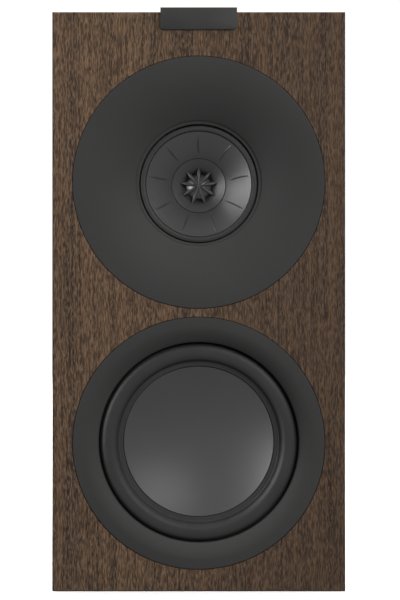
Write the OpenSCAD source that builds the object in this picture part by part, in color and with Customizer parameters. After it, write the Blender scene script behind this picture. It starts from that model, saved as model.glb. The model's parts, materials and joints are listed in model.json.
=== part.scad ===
// Three-way bookshelf loudspeaker: a coaxial midrange and tweeter above, a bass driver below.
// The front faces -Y and +Z is up. The origin is the centre of the cabinet's bottom face.
// Driver pieces are drawn in a local frame: +Z points out of the baffle and z = 0 is its front face.

/* [Cabinet] */
// Width of the cabinet
cabinet_w = 210; // [205:1:260]
// Height of the cabinet
cabinet_h = 415; // [412:1:520]
// Depth of the cabinet, without the terminals
cabinet_d = 301; // [250:1:380]
// Thickness of the front baffle
baffle_t = 22; // [20:0.1:28]
// Thickness of every other panel
panel_t = 15; // [12:0.1:18]
// Chamfer along the front edges of the baffle
edge_chamfer = 0.8; // [0.4:0.1:2]
// Height from the bottom of the cabinet to the lower disc
bottom_margin = 15.7; // [12:0.1:30]
// Distance between the two discs
disc_spacing = 6.4; // [6:0.1:10]

/* [Both drivers] */
// Radius of the disc that each driver shows on the baffle
disc_r = 90.3; // [75:0.1:92]
// Gap between a disc and the wall of its recess
disc_gap = 0.4; // [0.2:0.1:1]
// Depth of the recess in the baffle
recess_d = 6.5; // [6:0.1:8]
// Thickness of the trim ring and the flare at the rim
trim_t = 2.5; // [2:0.1:3]
// Thickness of a basket's flange
flange_t = 3; // [2.5:0.1:3.5]
// Number of screws that hold each driver
driver_screw_count = 6; // [4:1:8]
// Length of a driver screw
driver_screw_l = 16; // [10:1:18]

/* [Woofer] */
// Width of the trim ring
trim_w = 18; // [14:0.1:20]
// Width of the flat outer part of the trim ring
trim_flat_w = 6.3; // [4:0.1:8]
// Depth of the trim ring's lip below the baffle
trim_drop = 4.2; // [3:0.1:6]
// Gap between the trim ring's lip and the rubber roll
roll_gap = 0.5; // [0.3:0.1:3]
// Width of the rubber half roll
roll_w = 13.4; // [10:0.1:14]
// Width of the flat lip between the roll and the cone
roll_lip_w = 4.1; // [3:0.1:5]
// Depth of the base of the rubber roll below the baffle
roll_depth = 12; // [11:0.1:17]
// Depth of the dish in the cone
dish_depth = 9.6; // [6:0.1:12]
// Outer radius of the voice coil former
woofer_coil_r = 19.3; // [16:0.1:22]
// Radius of the woofer's magnet
woofer_magnet_r = 52; // [46:1:56]
// Thickness of the woofer's magnet
woofer_magnet_t = 18; // [14:1:24]
// Depth of the motor's front plate below the baffle
woofer_motor_depth = 58; // [56:1:66]

/* [Coaxial driver] */
// Radius of the arc of the flare
flare_arc_r = 94; // [92:0.1:140]
// Outer radius of the small lip at the throat of the flare
throat_r = 45; // [43:0.1:46]
// Radius of the midrange cone
mid_cone_r = 38.4; // [37:0.1:39]
// Number of ribs on the cone and of fins on the waveguide
fin_count = 9; // [5:1:12]
// Outer radius of the midrange voice coil former
mid_coil_r = 20.3; // [20:0.1:21]
// Radius of the midrange magnet
mid_magnet_r = 48; // [46:1:52]
// Radius of the tweeter dome
dome_r = 9.5; // [8.5:0.1:10]
// Height of the tweeter dome
dome_h = 3; // [2:0.1:4]
// Depth of the sealed chamber behind the driver, from the front of the baffle
chamber_depth = 110; // [95:1:120]

/* [Port] */
// Inner radius of the port tube
port_r = 25; // [20:0.5:30]
// Length of the port tube
port_l = 130; // [100:1:135]
// Distance from the top of the cabinet to the port's axis
port_drop = 115; // [90:1:150]

/* [Terminals] */
// Width of the terminal plate
terminal_w = 90; // [80:1:110]
// Height of the terminal plate
terminal_h = 66; // [60:1:80]
// Height of the terminal plate's centre above the bottom
terminal_z = 80; // [75:1:110]
// Distance between the two binding posts
post_spacing = 19; // [19:0.1:22]
// Radius of a binding post's stem
post_r = 3; // [2.8:0.1:3.3]
// Radius of the socket for a banana plug
banana_r = 2; // [1.9:0.05:2.1]
// Radius of a binding-post knob
knob_r = 7; // [6.5:0.1:8]

/* [Stand inserts] */
// Distance between the inserts across the cabinet
insert_spacing_x = 120; // [90:1:150]
// Distance between the inserts from front to back
insert_spacing_y = 180; // [140:1:190]
// Radius of the threaded hole in an insert
insert_hole_r = 2.5; // [2:0.1:3.4]

/* [Badge] */
// Width of the badge
badge_w = 54.9; // [40:0.1:70]
// Height of the badge's front leg
badge_h = 15.9; // [12:0.1:20]
// How far the badge stands above the cabinet
badge_rise = 3; // [1:0.1:4]

/* [Hidden] */
$fn = 96;

// Shared clearances
glue = 0.1;          // bond line between pieces that are glued together
thread_gap = 0.05;   // between a screw and its hole, on the radius
run_gap = 0.06;      // running fit of a sleeve on its stem, on the radius
air = 2;             // smallest clearance between pieces inside the cabinet
gasket_t = 1;
plate_gap = 0.3;      // round the terminal plate in its recess
wadding_front = 35;   // from the baffle to the lower wadding
wadding_back = 20;    // from the back panel to the wadding
wadding_edge = 5;     // from the panels and the brace to the wadding
rim_bevel = 0.4;     // bevel on the rim of each disc

// Cabinet
front_y = -cabinet_d / 2;
back_y = cabinet_d / 2;
inner_front_y = front_y + baffle_t;
inner_back_y = back_y - panel_t;
inner_depth = inner_back_y - inner_front_y;
inner_mid_y = (inner_front_y + inner_back_y) / 2;
inner_x = cabinet_w / 2 - panel_t;
inner_top = cabinet_h - panel_t;
woofer_z = bottom_margin + disc_r;
coax_z = woofer_z + 2 * disc_r + disc_spacing;

// Both drivers
recess_r = disc_r + disc_gap;
flange_r = disc_r - 1.3;
cutout_r = disc_r - 10.3;
basket_r = cutout_r - 1;
basket_wall = 2;
screw_circle_r = (flange_r + cutout_r) / 2;
flange_top = -trim_t;
flange_bottom = flange_top - flange_t;
screw_head_r = 3.6;
screw_r = 2;
screw_head_h = 2;
screw_turn = 15;     // turns the screws away from the cage's windows

// Woofer
lip_r = disc_r - trim_w;
trim_flat_r = disc_r - trim_flat_w;
trim_lip_w = trim_flat_r - lip_r;
trim_arc_a = 2 * atan(trim_drop / trim_lip_w);
trim_arc_r = trim_lip_w / sin(trim_arc_a);
trim_wall = 1.5;
roll_outer_r = lip_r - roll_gap;
roll_inner_r = roll_outer_r - roll_w;
woofer_cone_r = roll_inner_r - roll_lip_w;
rubber_t = 0.8;
landing_w = 6;
cone_rim_w = roll_lip_w - 0.7;
skin_t = 0.5;
dish_rim_z = -roll_depth - glue;
dish_r = (woofer_cone_r * woofer_cone_r + dish_depth * dish_depth) / (2 * dish_depth);
former_t = 0.3;
winding_t = 0.8;
coil_gap = 0.5;
top_plate_t = 6;
yoke_plate_t = 7;
pole_gap = 0.6;
woofer_seat_z = -woofer_motor_depth;
woofer_plate_z = woofer_seat_z - top_plate_t;
woofer_magnet_z = woofer_plate_z - woofer_magnet_t;
woofer_seat_r = woofer_magnet_r - 4;
woofer_waist_r = woofer_seat_r + 12;
woofer_waist_z = woofer_seat_z + 12;
woofer_spider_z = woofer_waist_z + 0.5;
woofer_spider_r = woofer_waist_r - 6;
woofer_body_drop = 20;
tab_h = 7;           // height of the tab that takes the woofer's leads

// Coaxial driver
throat_z = flare_arc_r * (cos(asin((disc_r - throat_r) / flare_arc_r)) - 1);
throat_hole_r = throat_r - 1.7;
throat_lip_z = throat_z - 1;
mid_flange_z = throat_z - 3.6;
mid_flange_r = throat_r + 3;
mid_ring_outer_r = throat_hole_r - 1;
mid_ring_inner_r = mid_cone_r + 0.3;
mid_ring_z = mid_flange_z + 0.2;
mid_rim_z = mid_ring_z - glue;
mid_cone_t = 0.4;
mid_inner_r = mid_coil_r + thread_gap;
mid_cone_drop = 12.1;
mid_landing_z = mid_flange_z - rubber_t;
mid_landing_r = mid_flange_r + air;
mid_cage_r = throat_r + 3;
mid_seat_z = mid_landing_z - 22;
mid_seat_t = 3;
mid_plate_z = mid_seat_z - mid_seat_t - top_plate_t;
mid_magnet_t = 14;
mid_magnet_z = mid_plate_z - mid_magnet_t;
mid_seat_r = mid_magnet_r - 3;
mid_spider_z = mid_seat_z + 3.6;
mid_spider_r = mid_coil_r + 17;
mid_yoke_t = 6;
pole_r = mid_coil_r - former_t - 0.5;
pole_bore_r = pole_r - 5.1;
chamber_flange_r = cutout_r + 5;
chamber_wall = 2.5;
chamber_back_r = mid_magnet_r + 10;

// Tweeter: its base is the plane of the dome's rim
guide_rim_z = mid_rim_z - mid_cone_drop - 0.2;
dome_z = guide_rim_z - 7.1;
guide_throat_r = dome_r + 0.5;
fin_w = 2.4;         // at its widest, over the dome's edge
fin_root_w = 0.7;
fin_tip_w = 1.4;
fin_reach = 5;       // past the dome's edge
dome_ball_r = (dome_r * dome_r + dome_h * dome_h) / (2 * dome_h);
dome_t = 0.3;
tweeter_face_z = mid_seat_z;
tweeter_yoke_r = pole_bore_r - glue;
tweeter_surround_z = tweeter_face_z + 1.2;
tweeter_coil_r = dome_r;
tweeter_winding_t = 0.4;
tweeter_cup_r = tweeter_coil_r + tweeter_winding_t + coil_gap;
tweeter_magnet_r = tweeter_coil_r - former_t - coil_gap;
tweeter_pole_t = 3;
tweeter_magnet_t = 5;
tweeter_base_t = 4;

// Shelf brace, halfway between the woofer's cut-out and the midrange chamber
brace_z = (woofer_z + cutout_r + coax_z - chamber_flange_r) / 2;
brace_hole_r = 20;
brace_hole_x = 55;
brace_hole_y = 75;

// Port
port_wall = 3;
port_z = cabinet_h - port_drop;
port_flare = 10;
port_inner_flare = 6;
port_flange_r = port_r + port_flare + 7;
port_hole_r = port_r + port_flare + 2;

// Terminals and crossover
terminal_t = 3;
terminal_corner = 6;
terminal_hole = 40;
terminal_screw_x = terminal_w / 2 - 7;
terminal_screw_y = terminal_h / 2 - 7;
terminal_screw_l = 11;
terminal_screw_r = 1.6;
post_out = 14;
post_in = 12;
collar_r = 6.5;
collar_h = 2;
knob_lift = 0.3;     // rest gap between a knob and its collar
knob_h = 9.7;
knob_end_t = 1.8;
sleeve_r = 4.5;
board_w = 130;
board_h = 100;
board_t = 1.6;
spacer_h = 10;
spacer_inset = 6;
board_front_y = inner_back_y - spacer_h - board_t;
lead_r = 1.2;
lead_land = 42;      // height of the leads' solder pads above the board's centre

// Small pieces of the cabinet
grille_magnet_r = 5;
grille_magnet_t = 5;
grille_magnet_skin = 2.5;
grille_magnet_inset = 13;
insert_r = 4.4;
insert_l = 12;
wadding_t = 12;
badge_t = 1.2;
badge_leg = 12;
badge_corner = 2.5;

// ---------- helpers ----------

// Points along an arc, from angle a to angle b
function arc(centre, r, a, b, steps) =
    [for (i = [0:steps]) let (t = a + (b - a) * i / steps) centre + r * [cos(t), sin(t)]];

// Depth of the flare's face at radius r
function flare_z(r) = flare_arc_r * (cos(asin((disc_r - r) / flare_arc_r)) - 1);

// Depth of the dish of the woofer's cone at radius r
function dish_z(r) =
    dish_rim_z - dish_depth + dish_r - sqrt(dish_r * dish_r - r * r);

// Depth of the midrange cone at radius r, steeper towards the coil
function mid_cone_z(r) =
    let (t = (mid_cone_r - r) / (mid_cone_r - mid_inner_r))
    mid_rim_z - mid_cone_drop * (0.79 * t + 0.21 * t * t);

// Height of the zigzag of a spider at step i
function zigzag(i) = (i % 2 == 0) ? -0.7 : 0.7;

// A flat ring between two radii and two heights
module ring(inner_r, outer_r, z0, z1) {
    translate([0, 0, z0])
        difference() {
            cylinder(h = z1 - z0, r = outer_r);
            translate([0, 0, -1]) cylinder(h = z1 - z0 + 2, r = inner_r);
        }
}

// Puts a driver's local frame on the baffle at height z
module on_baffle(z) {
    translate([0, front_y, z]) rotate([90, 0, 0]) children();
}

// Puts a local frame on the back of the cabinet, with +Z pointing out
module on_back(x, z) {
    translate([x, back_y, z]) rotate([-90, 0, 0]) children();
}

// Puts a local frame on the front of the crossover board, with +Z towards the front
module on_board() {
    translate([0, board_front_y, terminal_z]) rotate([90, 0, 0]) children();
}

// Copies of a child round the Z axis
module round_copies(count, first = 0) {
    for (i = [0:count - 1]) rotate([0, 0, first + 360 * i / count]) children();
}

// The four mirrored places of a rectangle
module corners(x, y) {
    for (sx = [-1, 1], sy = [-1, 1]) translate([sx * x, sy * y, 0]) children();
}

// A plate with round corners, from z = 0 down
module round_plate(w, h, t, r) {
    translate([0, 0, -t]) {
        translate([-w / 2 + r, -h / 2, 0]) cube([w - 2 * r, h, t]);
        translate([-w / 2, -h / 2 + r, 0]) cube([w, h - 2 * r, t]);
        corners(w / 2 - r, h / 2 - r) cylinder(h = t, r = r);
    }
}

// A countersunk screw with the top of its head at z = 0
module flat_screw(head_r, head_h, r, l) {
    translate([0, 0, -head_h]) cylinder(h = head_h, r1 = r, r2 = head_r);
    translate([0, 0, -l]) cylinder(h = l - head_h, r = r);
}

// The room for a countersunk screw
module flat_screw_hole(head_r, head_h, r, l) {
    translate([0, 0, -head_h])
        cylinder(h = head_h, r1 = r + thread_gap, r2 = head_r + thread_gap);
    translate([0, 0, -l - 0.5]) cylinder(h = l + 0.5, r = r + thread_gap);
    translate([0, 0, -0.01]) cylinder(h = 5, r = head_r + thread_gap);
}

module driver_screw_places() {
    round_copies(driver_screw_count, screw_turn) translate([screw_circle_r, 0, flange_top]) children();
}

module driver_screws() {
    driver_screw_places() flat_screw(screw_head_r, screw_head_h, screw_r, driver_screw_l);
}

module driver_screw_holes() {
    driver_screw_places() flat_screw_hole(screw_head_r, screw_head_h, screw_r, driver_screw_l);
}

module driver_gasket() {
    difference() {
        ring(cutout_r, flange_r, -recess_d, flange_bottom);
        driver_screw_holes();
    }
}

// A voice coil: a thin former with its winding
module voice_coil(r, winding, top, winding_top, bottom) {
    ring(r - former_t, r, bottom, top);
    ring(r - former_t / 2, r + winding, bottom, winding_top);
}

// A corrugated spider with flat edges
module spider(inner_r, outer_r, z, waves) {
    start = inner_r + 3;
    end = outer_r - 5;
    steps = 2 * waves;
    wave = [for (i = [1:steps - 1]) [start + (end - start) * i / steps, zigzag(i)]];
    upper = concat([[inner_r, 0], [start, 0]], wave, [[end, 0], [outer_r, 0]]);
    lower = [for (i = [len(upper) - 1:-1:0]) upper[i] - [0, 0.6]];
    translate([0, 0, z]) rotate_extrude() polygon(concat(upper, lower));
}

// A yoke: a plate with a pole, bored through when bore_r is over zero
module yoke(plate_r, plate_t, z, pole_r, pole_top, bore_r) {
    difference() {
        union() {
            translate([0, 0, z - plate_t]) cylinder(h = plate_t, r = plate_r);
            translate([0, 0, z - 1]) cylinder(h = pole_top - z + 1, r = pole_r);
        }
        translate([0, 0, z - plate_t - 1]) cylinder(h = pole_top - z + plate_t + 2, r = bore_r);
    }
}

// ---------- cabinet ----------

module driver_hole(z) {
    on_baffle(z) {
        translate([0, 0, -recess_d]) cylinder(h = recess_d + 1, r = recess_r);
        translate([0, 0, -baffle_t - 1]) cylinder(h = baffle_t, r = cutout_r);
        driver_screw_holes();
    }
}

module edge_cut(length) {
    side = edge_chamfer * sqrt(2);
    rotate([0, 0, 45]) cube([side, side, length + 2], center = true);
}

module grille_magnet_places() {
    for (x = [-1, 1], z = [grille_magnet_inset + 6, brace_z, cabinet_h - grille_magnet_inset - 6])
        translate([x * (cabinet_w / 2 - grille_magnet_inset), front_y + grille_magnet_skin, z])
            rotate([-90, 0, 0]) children();
}

module front_baffle() {
    color([0.40, 0.31, 0.25])
        difference() {
            translate([-cabinet_w / 2, front_y, 0]) cube([cabinet_w, baffle_t, cabinet_h]);
            driver_hole(woofer_z);
            driver_hole(coax_z);
            grille_magnet_places() cylinder(h = baffle_t, r = grille_magnet_r + glue);
            for (x = [-1, 1])
                translate([x * cabinet_w / 2, front_y, cabinet_h / 2]) edge_cut(cabinet_h);
            for (z = [0, cabinet_h])
                translate([0, front_y, z]) rotate([0, 90, 0]) edge_cut(cabinet_w);
        }
}

module side_panel(side) {
    color([0.38, 0.29, 0.23])
        translate([side * (cabinet_w - panel_t) / 2, (inner_front_y + back_y) / 2, cabinet_h / 2])
            cube([panel_t, back_y - inner_front_y, cabinet_h], center = true);
}

module left_side_panel() side_panel(-1);

module right_side_panel() side_panel(1);

module top_panel() {
    color([0.38, 0.29, 0.23])
        translate([-inner_x, inner_front_y, inner_top])
            cube([2 * inner_x, back_y - inner_front_y, panel_t]);
}

module insert_places() {
    corners(insert_spacing_x / 2, insert_spacing_y / 2) children();
}

module bottom_panel() {
    color([0.38, 0.29, 0.23])
        difference() {
            translate([-inner_x, inner_front_y, 0]) cube([2 * inner_x, back_y - inner_front_y, panel_t]);
            insert_places()
                translate([0, 0, -1]) cylinder(h = insert_l + 1, r = insert_r + thread_gap);
        }
}

module back_panel() {
    color([0.20, 0.17, 0.15])
        difference() {
            translate([-inner_x, inner_back_y, panel_t])
                cube([2 * inner_x, panel_t, inner_top - panel_t]);
            on_back(0, port_z) {
                translate([0, 0, -port_wall]) cylinder(h = port_wall + 1, r = port_flange_r + glue);
                translate([0, 0, -panel_t - 1]) cylinder(h = panel_t + 1, r = port_hole_r + glue);
            }
            on_back(0, terminal_z) {
                translate([0, 0, 1])
                    round_plate(
                        terminal_w + 2 * plate_gap,
                        terminal_h + 2 * plate_gap,
                        terminal_t + gasket_t + 1,
                        terminal_corner + plate_gap
                    );
                translate([0, 0, -panel_t / 2])
                    cube([terminal_hole, terminal_hole, panel_t + 2], center = true);
                terminal_screw_holes();
            }
        }
}

module shelf_brace() {
    color([0.62, 0.50, 0.36])
        difference() {
            translate([-inner_x, inner_front_y, brace_z - panel_t / 2])
                cube([2 * inner_x, inner_depth, panel_t]);
            for (x = [-1:1], y = [-1:1])
                translate([x * brace_hole_x, inner_mid_y + y * brace_hole_y, brace_z])
                    cylinder(h = panel_t + 2, r = brace_hole_r, center = true);
        }
}

module wadding_sheet(side, y0, y1, z0, z1) {
    translate([side > 0 ? inner_x - wadding_t : -inner_x, y0, z0])
        cube([wadding_t, y1 - y0, z1 - z0]);
}

module cabinet_wadding() {
    color([0.85, 0.85, 0.82])
        for (side = [-1, 1]) {
            wadding_sheet(
                side, inner_front_y + wadding_front, inner_back_y - wadding_back,
                panel_t + wadding_edge, brace_z - panel_t / 2 - wadding_edge
            );
            wadding_sheet(
                side, front_y + chamber_depth + wadding_edge, inner_back_y - wadding_back,
                brace_z + panel_t / 2 + wadding_edge, inner_top - wadding_edge
            );
        }
}

module grille_magnets() {
    color([0.75, 0.75, 0.76])
        grille_magnet_places() cylinder(h = grille_magnet_t, r = grille_magnet_r);
}

module stand_inserts() {
    color([0.80, 0.65, 0.35])
        insert_places()
            difference() {
                cylinder(h = insert_l, r = insert_r);
                translate([0, 0, -1]) cylinder(h = insert_l - 1, r = insert_hole_r);
            }
}

module badge() {
    color([0.23, 0.22, 0.21])
        translate([0, front_y, cabinet_h + badge_rise]) {
            translate([-badge_w / 2, 0, -badge_rise]) cube([badge_w, badge_leg, badge_rise]);
            rotate([90, 0, 0])
                linear_extrude(height = badge_t) {
                    translate([-badge_w / 2, -badge_h + badge_corner])
                        square([badge_w, badge_h - badge_corner]);
                    translate([-badge_w / 2 + badge_corner, -badge_h])
                        square([badge_w - 2 * badge_corner, badge_corner + 1]);
                    for (x = [-1, 1])
                        translate([x * (badge_w / 2 - badge_corner), -badge_h + badge_corner])
                            circle(r = badge_corner);
                }
        }
}

// ---------- port, terminals and crossover ----------

module port_tube() {
    tube_r = port_r + port_wall;
    inner_face = arc([port_r + port_flare, -port_flare], port_flare, 90, 180, 8);
    inner_end = arc([port_r + port_inner_flare, port_inner_flare - port_l], port_inner_flare, 180, 270, 6);
    outer_face = [
        [port_r + port_inner_flare + port_wall, -port_l],
        [port_r + port_inner_flare + port_wall, 1 - port_l],
        [tube_r, port_inner_flare + port_wall - port_l],
        [tube_r, -port_flare - port_wall],
        [port_hole_r, -port_wall - 1],
        [port_hole_r, -port_wall],
        [port_flange_r, -port_wall],
        [port_flange_r, -rim_bevel],
        [port_flange_r - rim_bevel, 0],
    ];
    color([0.10, 0.10, 0.10])
        on_back(0, port_z) rotate_extrude() polygon(concat(inner_face, inner_end, outer_face));
}

module terminal_screw_places() {
    corners(terminal_screw_x, terminal_screw_y) children();
}

module terminal_screw_holes() {
    terminal_screw_places()
        flat_screw_hole(2 * terminal_screw_r, terminal_screw_r, terminal_screw_r, terminal_screw_l);
}

module terminal_screws() {
    color([0.15, 0.15, 0.15])
        on_back(0, terminal_z)
            terminal_screw_places()
                flat_screw(2 * terminal_screw_r, terminal_screw_r, terminal_screw_r, terminal_screw_l);
}

module terminal_plate() {
    color([0.11, 0.11, 0.11])
        on_back(0, terminal_z)
            difference() {
                round_plate(terminal_w, terminal_h, terminal_t, terminal_corner);
                for (x = [-1, 1])
                    translate([x * post_spacing / 2, 0, -terminal_t - 1])
                        cylinder(h = terminal_t + 2, r = post_r + thread_gap);
                terminal_screw_holes();
            }
}

module terminal_gasket() {
    color([0.25, 0.25, 0.25])
        on_back(0, terminal_z)
            difference() {
                translate([0, 0, -terminal_t]) round_plate(terminal_w, terminal_h, gasket_t, terminal_corner);
                translate([0, 0, -terminal_t]) cube([terminal_hole, terminal_hole, 4], center = true);
                terminal_screw_holes();
            }
}

// A binding post with a banana socket in its end and a wire hole across it
module binding_post(side) {
    socket_l = post_out - collar_h - 3.5;
    color([0.80, 0.66, 0.35])
        on_back(side * post_spacing / 2, terminal_z)
            difference() {
                union() {
                    cylinder(h = collar_h, r = collar_r);
                    translate([0, 0, -post_in]) cylinder(h = post_out + post_in, r = post_r);
                }
                translate([0, 0, post_out - socket_l]) cylinder(h = socket_l + 1, r = banana_r);
                translate([0, 0, collar_h + 1.8])
                    rotate([90, 0, 0]) cylinder(h = 4 * post_r, r = 1.2, center = true);
            }
}

module positive_post() binding_post(-1);

module negative_post() binding_post(1);

module post_nuts() {
    color([0.80, 0.66, 0.35])
        for (side = [-1, 1])
            on_back(side * post_spacing / 2, terminal_z)
                translate([0, 0, -terminal_t - 4])
                    difference() {
                        cylinder(h = 4, r = post_r + 3, $fn = 6);
                        translate([0, 0, -1]) cylinder(h = 6, r = post_r + thread_gap);
                    }
}

module knob_sleeve(side) {
    color([0.80, 0.66, 0.35])
        on_back(side * post_spacing / 2, terminal_z)
            translate([0, 0, collar_h + knob_lift])
                ring(post_r + run_gap, sleeve_r, 0, knob_h - knob_end_t - 0.2);
}

module positive_knob_sleeve() knob_sleeve(-1);

module negative_knob_sleeve() knob_sleeve(1);

module knob(side, tint) {
    grip_count = 14;
    color(tint)
        on_back(side * post_spacing / 2, terminal_z)
            translate([0, 0, collar_h + knob_lift])
                difference() {
                    cylinder(h = knob_h, r = knob_r);
                    translate([0, 0, -1]) cylinder(h = knob_h - knob_end_t + 1, r = sleeve_r + run_gap);
                    cylinder(h = knob_h + 1, r = post_r + 0.25);
                    round_copies(grip_count)
                        translate([knob_r + 0.5, 0, 1.5]) cylinder(h = knob_h, r = 1);
                }
}

module positive_knob() knob(-1, [0.62, 0.06, 0.05]);

module negative_knob() knob(1, [0.07, 0.07, 0.07]);

module spacer_places() {
    corners(board_w / 2 - spacer_inset, board_h / 2 - spacer_inset) children();
}

module crossover_board() {
    color([0.10, 0.30, 0.16])
        on_board()
            difference() {
                translate([-board_w / 2, -board_h / 2, -board_t]) cube([board_w, board_h, board_t]);
                spacer_places()
                    translate([0, 0, -board_t - 1]) cylinder(h = board_t + 2, r = 1.5 + thread_gap);
            }
}

module crossover_spacers() {
    color([0.92, 0.92, 0.90])
        on_board()
            spacer_places() {
                translate([0, 0, -board_t - spacer_h]) cylinder(h = spacer_h, r = 3.5);
                translate([0, 0, -board_t - 1]) cylinder(h = board_t + 2, r = 1.5);
                cylinder(h = 1.5, r = 2.3);
            }
}

module crossover_inductors() {
    color([0.72, 0.38, 0.18])
        on_board()
            for (place = [[-42, -24], [0, -28], [42, -24]])
                translate([place.x, place.y, 0]) ring(6, 15, 0, 16);
}

module crossover_capacitors() {
    color([0.75, 0.12, 0.10])
        on_board()
            for (place = [[-42, 4], [-42, 21], [-2, 2], [-2, 19]])
                translate([place.x, place.y, 7]) rotate([0, 90, 0]) cylinder(h = 30, r = 7, center = true);
}

module crossover_resistors() {
    color([0.88, 0.86, 0.80])
        on_board()
            for (y = [2, 15, 28])
                translate([42, y, 4.5]) cube([22, 9, 9], center = true);
}

// A lead that keeps to one x, along [y, z] points, with mitred bends
module lead(x, path) {
    sides = 6;
    last = len(path) - 1;
    run = [for (i = [0:last - 1]) (path[i + 1] - path[i]) / norm(path[i + 1] - path[i])];
    mean = [for (i = [0:last]) let (v = run[max(i - 1, 0)] + run[min(i, last - 1)]) v / norm(v)];
    points = [
        for (i = [0:last], s = [0:sides - 1])
            let (a = 360 * s / sides, out = lead_r * sin(a) / (mean[i] * run[min(i, last - 1)]))
            [x + lead_r * cos(a), path[i].x - out * mean[i].y, path[i].y + out * mean[i].x]
    ];
    walls = [
        for (i = [0:last - 1], s = [0:sides - 1])
            let (a = i * sides + s, b = i * sides + (s + 1) % sides)
            [a, b, b + sides, a + sides]
    ];
    near_end = [for (s = [sides - 1:-1:0]) s];
    far_end = [for (s = [0:sides - 1]) last * sides + s];
    polyhedron(points, concat([near_end], walls, [far_end]));
}

module driver_leads() {
    tab_y = front_y - (woofer_waist_z + 1);
    chamber_y = front_y + chamber_depth;
    woofer_path = [
        [tab_y, woofer_z + woofer_waist_r + 5],
        [tab_y + 50, woofer_z + woofer_waist_r + 5],
        [board_front_y - 40, terminal_z + lead_land + 8],
        [board_front_y - 15, terminal_z + lead_land],
        [board_front_y, terminal_z + lead_land],
    ];
    coax_path = [
        [chamber_y, coax_z - 42],
        [chamber_y + 14, coax_z - 42],
        [inner_mid_y, brace_z + 22],
        [inner_mid_y, brace_z - 22],
        [board_front_y - 25, terminal_z + lead_land],
        [board_front_y, terminal_z + lead_land],
    ];
    color([0.60, 0.08, 0.07]) {
        for (x = [-8, -4]) lead(x, woofer_path);
        for (x = [3, 7, 11, 15]) lead(x, coax_path);
    }
}

// ---------- woofer ----------

module woofer_trim_ring() {
    wall_r = lip_r + trim_wall;
    face = arc([trim_flat_r, -trim_arc_r], trim_arc_r, 90, 90 + trim_arc_a, 10);
    rest = [
        [lip_r, rubber_t - roll_depth],
        [wall_r, rubber_t - roll_depth],
        [wall_r, -trim_drop - trim_t],
        [basket_r - basket_wall - 0.2, -trim_t],
        [disc_r, -trim_t],
        [disc_r, -rim_bevel],
        [disc_r - rim_bevel, 0],
    ];
    color([0.24, 0.23, 0.22]) on_baffle(woofer_z) rotate_extrude() polygon(concat(face, rest));
}

module woofer_basket() {
    wall_r = basket_r - basket_wall;
    landing_z = -roll_depth;
    landing_t = 2;
    cage_t = 3;
    color([0.13, 0.13, 0.13])
        on_baffle(woofer_z)
            difference() {
                union() {
                    rotate_extrude()
                        polygon([
                            [flange_r, flange_top],
                            [wall_r, flange_top],
                            [wall_r, landing_z],
                            [roll_outer_r - 0.2, landing_z],
                            [roll_outer_r - 0.2, landing_z - landing_t],
                            [basket_r - 3.5, landing_z - landing_t],
                            [woofer_waist_r - cage_t, woofer_waist_z],
                            [woofer_seat_r - cage_t, woofer_seat_z + 3],
                            [woofer_coil_r + 11, woofer_seat_z + 3],
                            [woofer_coil_r + 11, woofer_seat_z],
                            [woofer_seat_r, woofer_seat_z],
                            [woofer_waist_r, woofer_waist_z],
                            [basket_r, landing_z - landing_t],
                            [basket_r, flange_bottom],
                            [flange_r, flange_bottom],
                        ]);
                    ring(
                        woofer_spider_r - 4, woofer_waist_r - 1.5,
                        woofer_spider_z - 2, woofer_spider_z - 0.6
                    );
                }
                round_copies(6)
                    translate([woofer_waist_r + 5, 0, (landing_z + woofer_waist_z) / 2])
                        cube([50, 36, landing_z - woofer_waist_z - 8], center = true);
                driver_screw_holes();
            }
    color([0.13, 0.13, 0.13])
        on_baffle(woofer_z)
            translate([-13, woofer_waist_r - 1.5, woofer_waist_z + 1]) cube([14, 9.5, tab_h]);
}

module woofer_gasket() {
    color([0.3, 0.3, 0.3]) on_baffle(woofer_z) driver_gasket();
}

module woofer_screws() {
    color([0.15, 0.15, 0.15]) on_baffle(woofer_z) driver_screws();
}

module woofer_surround() {
    centre = [(roll_outer_r + roll_inner_r) / 2, -roll_depth];
    foot_a = asin(2 * rubber_t / roll_w);
    outer = arc(centre, roll_w / 2, foot_a, 180 - foot_a, 14);
    inner = arc(centre, roll_w / 2 - rubber_t, 180, 0, 14);
    inner_r = woofer_cone_r + 0.2;
    outer_r = roll_outer_r + landing_w - 1;
    inner_lip = [[inner_r, rubber_t - roll_depth], [inner_r, -roll_depth]];
    outer_lip = [[outer_r, -roll_depth], [outer_r, rubber_t - roll_depth]];
    color([0.09, 0.09, 0.09])
        on_baffle(woofer_z) rotate_extrude() polygon(concat(outer, inner_lip, inner, outer_lip));
}

module woofer_cone() {
    steps = 10;
    face = [for (i = [0:steps]) let (r = woofer_cone_r * i / steps) [r, dish_z(r)]];
    rim = [
        [woofer_cone_r + cone_rim_w, dish_rim_z],
        [woofer_cone_r + cone_rim_w, dish_rim_z - skin_t],
    ];
    back = [for (i = [steps:-1:0]) let (r = woofer_cone_r * i / steps) [r, dish_z(r) - skin_t]];
    color([0.27, 0.26, 0.25]) on_baffle(woofer_z) rotate_extrude() polygon(concat(face, rim, back));
}

module woofer_cone_body() {
    top_z = dish_rim_z - skin_t;
    rim_r = woofer_cone_r + cone_rim_w;
    neck_r = woofer_coil_r + thread_gap;
    neck_z = top_z - woofer_body_drop;
    color([0.20, 0.19, 0.17])
        on_baffle(woofer_z)
            rotate_extrude()
                polygon([
                    [rim_r, top_z],
                    [woofer_cone_r + 0.6, top_z],
                    [neck_r, neck_z + 0.9],
                    [neck_r, neck_z],
                    [rim_r, top_z - 0.7],
                ]);
}

module woofer_voice_coil() {
    centre_z = woofer_seat_z - top_plate_t / 2;
    half_winding = top_plate_t / 2 + 4;
    color([0.72, 0.45, 0.20])
        on_baffle(woofer_z)
            voice_coil(
                woofer_coil_r, winding_t, dish_z(woofer_coil_r - former_t) - skin_t - thread_gap,
                centre_z + half_winding, centre_z - half_winding
            );
}

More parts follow.
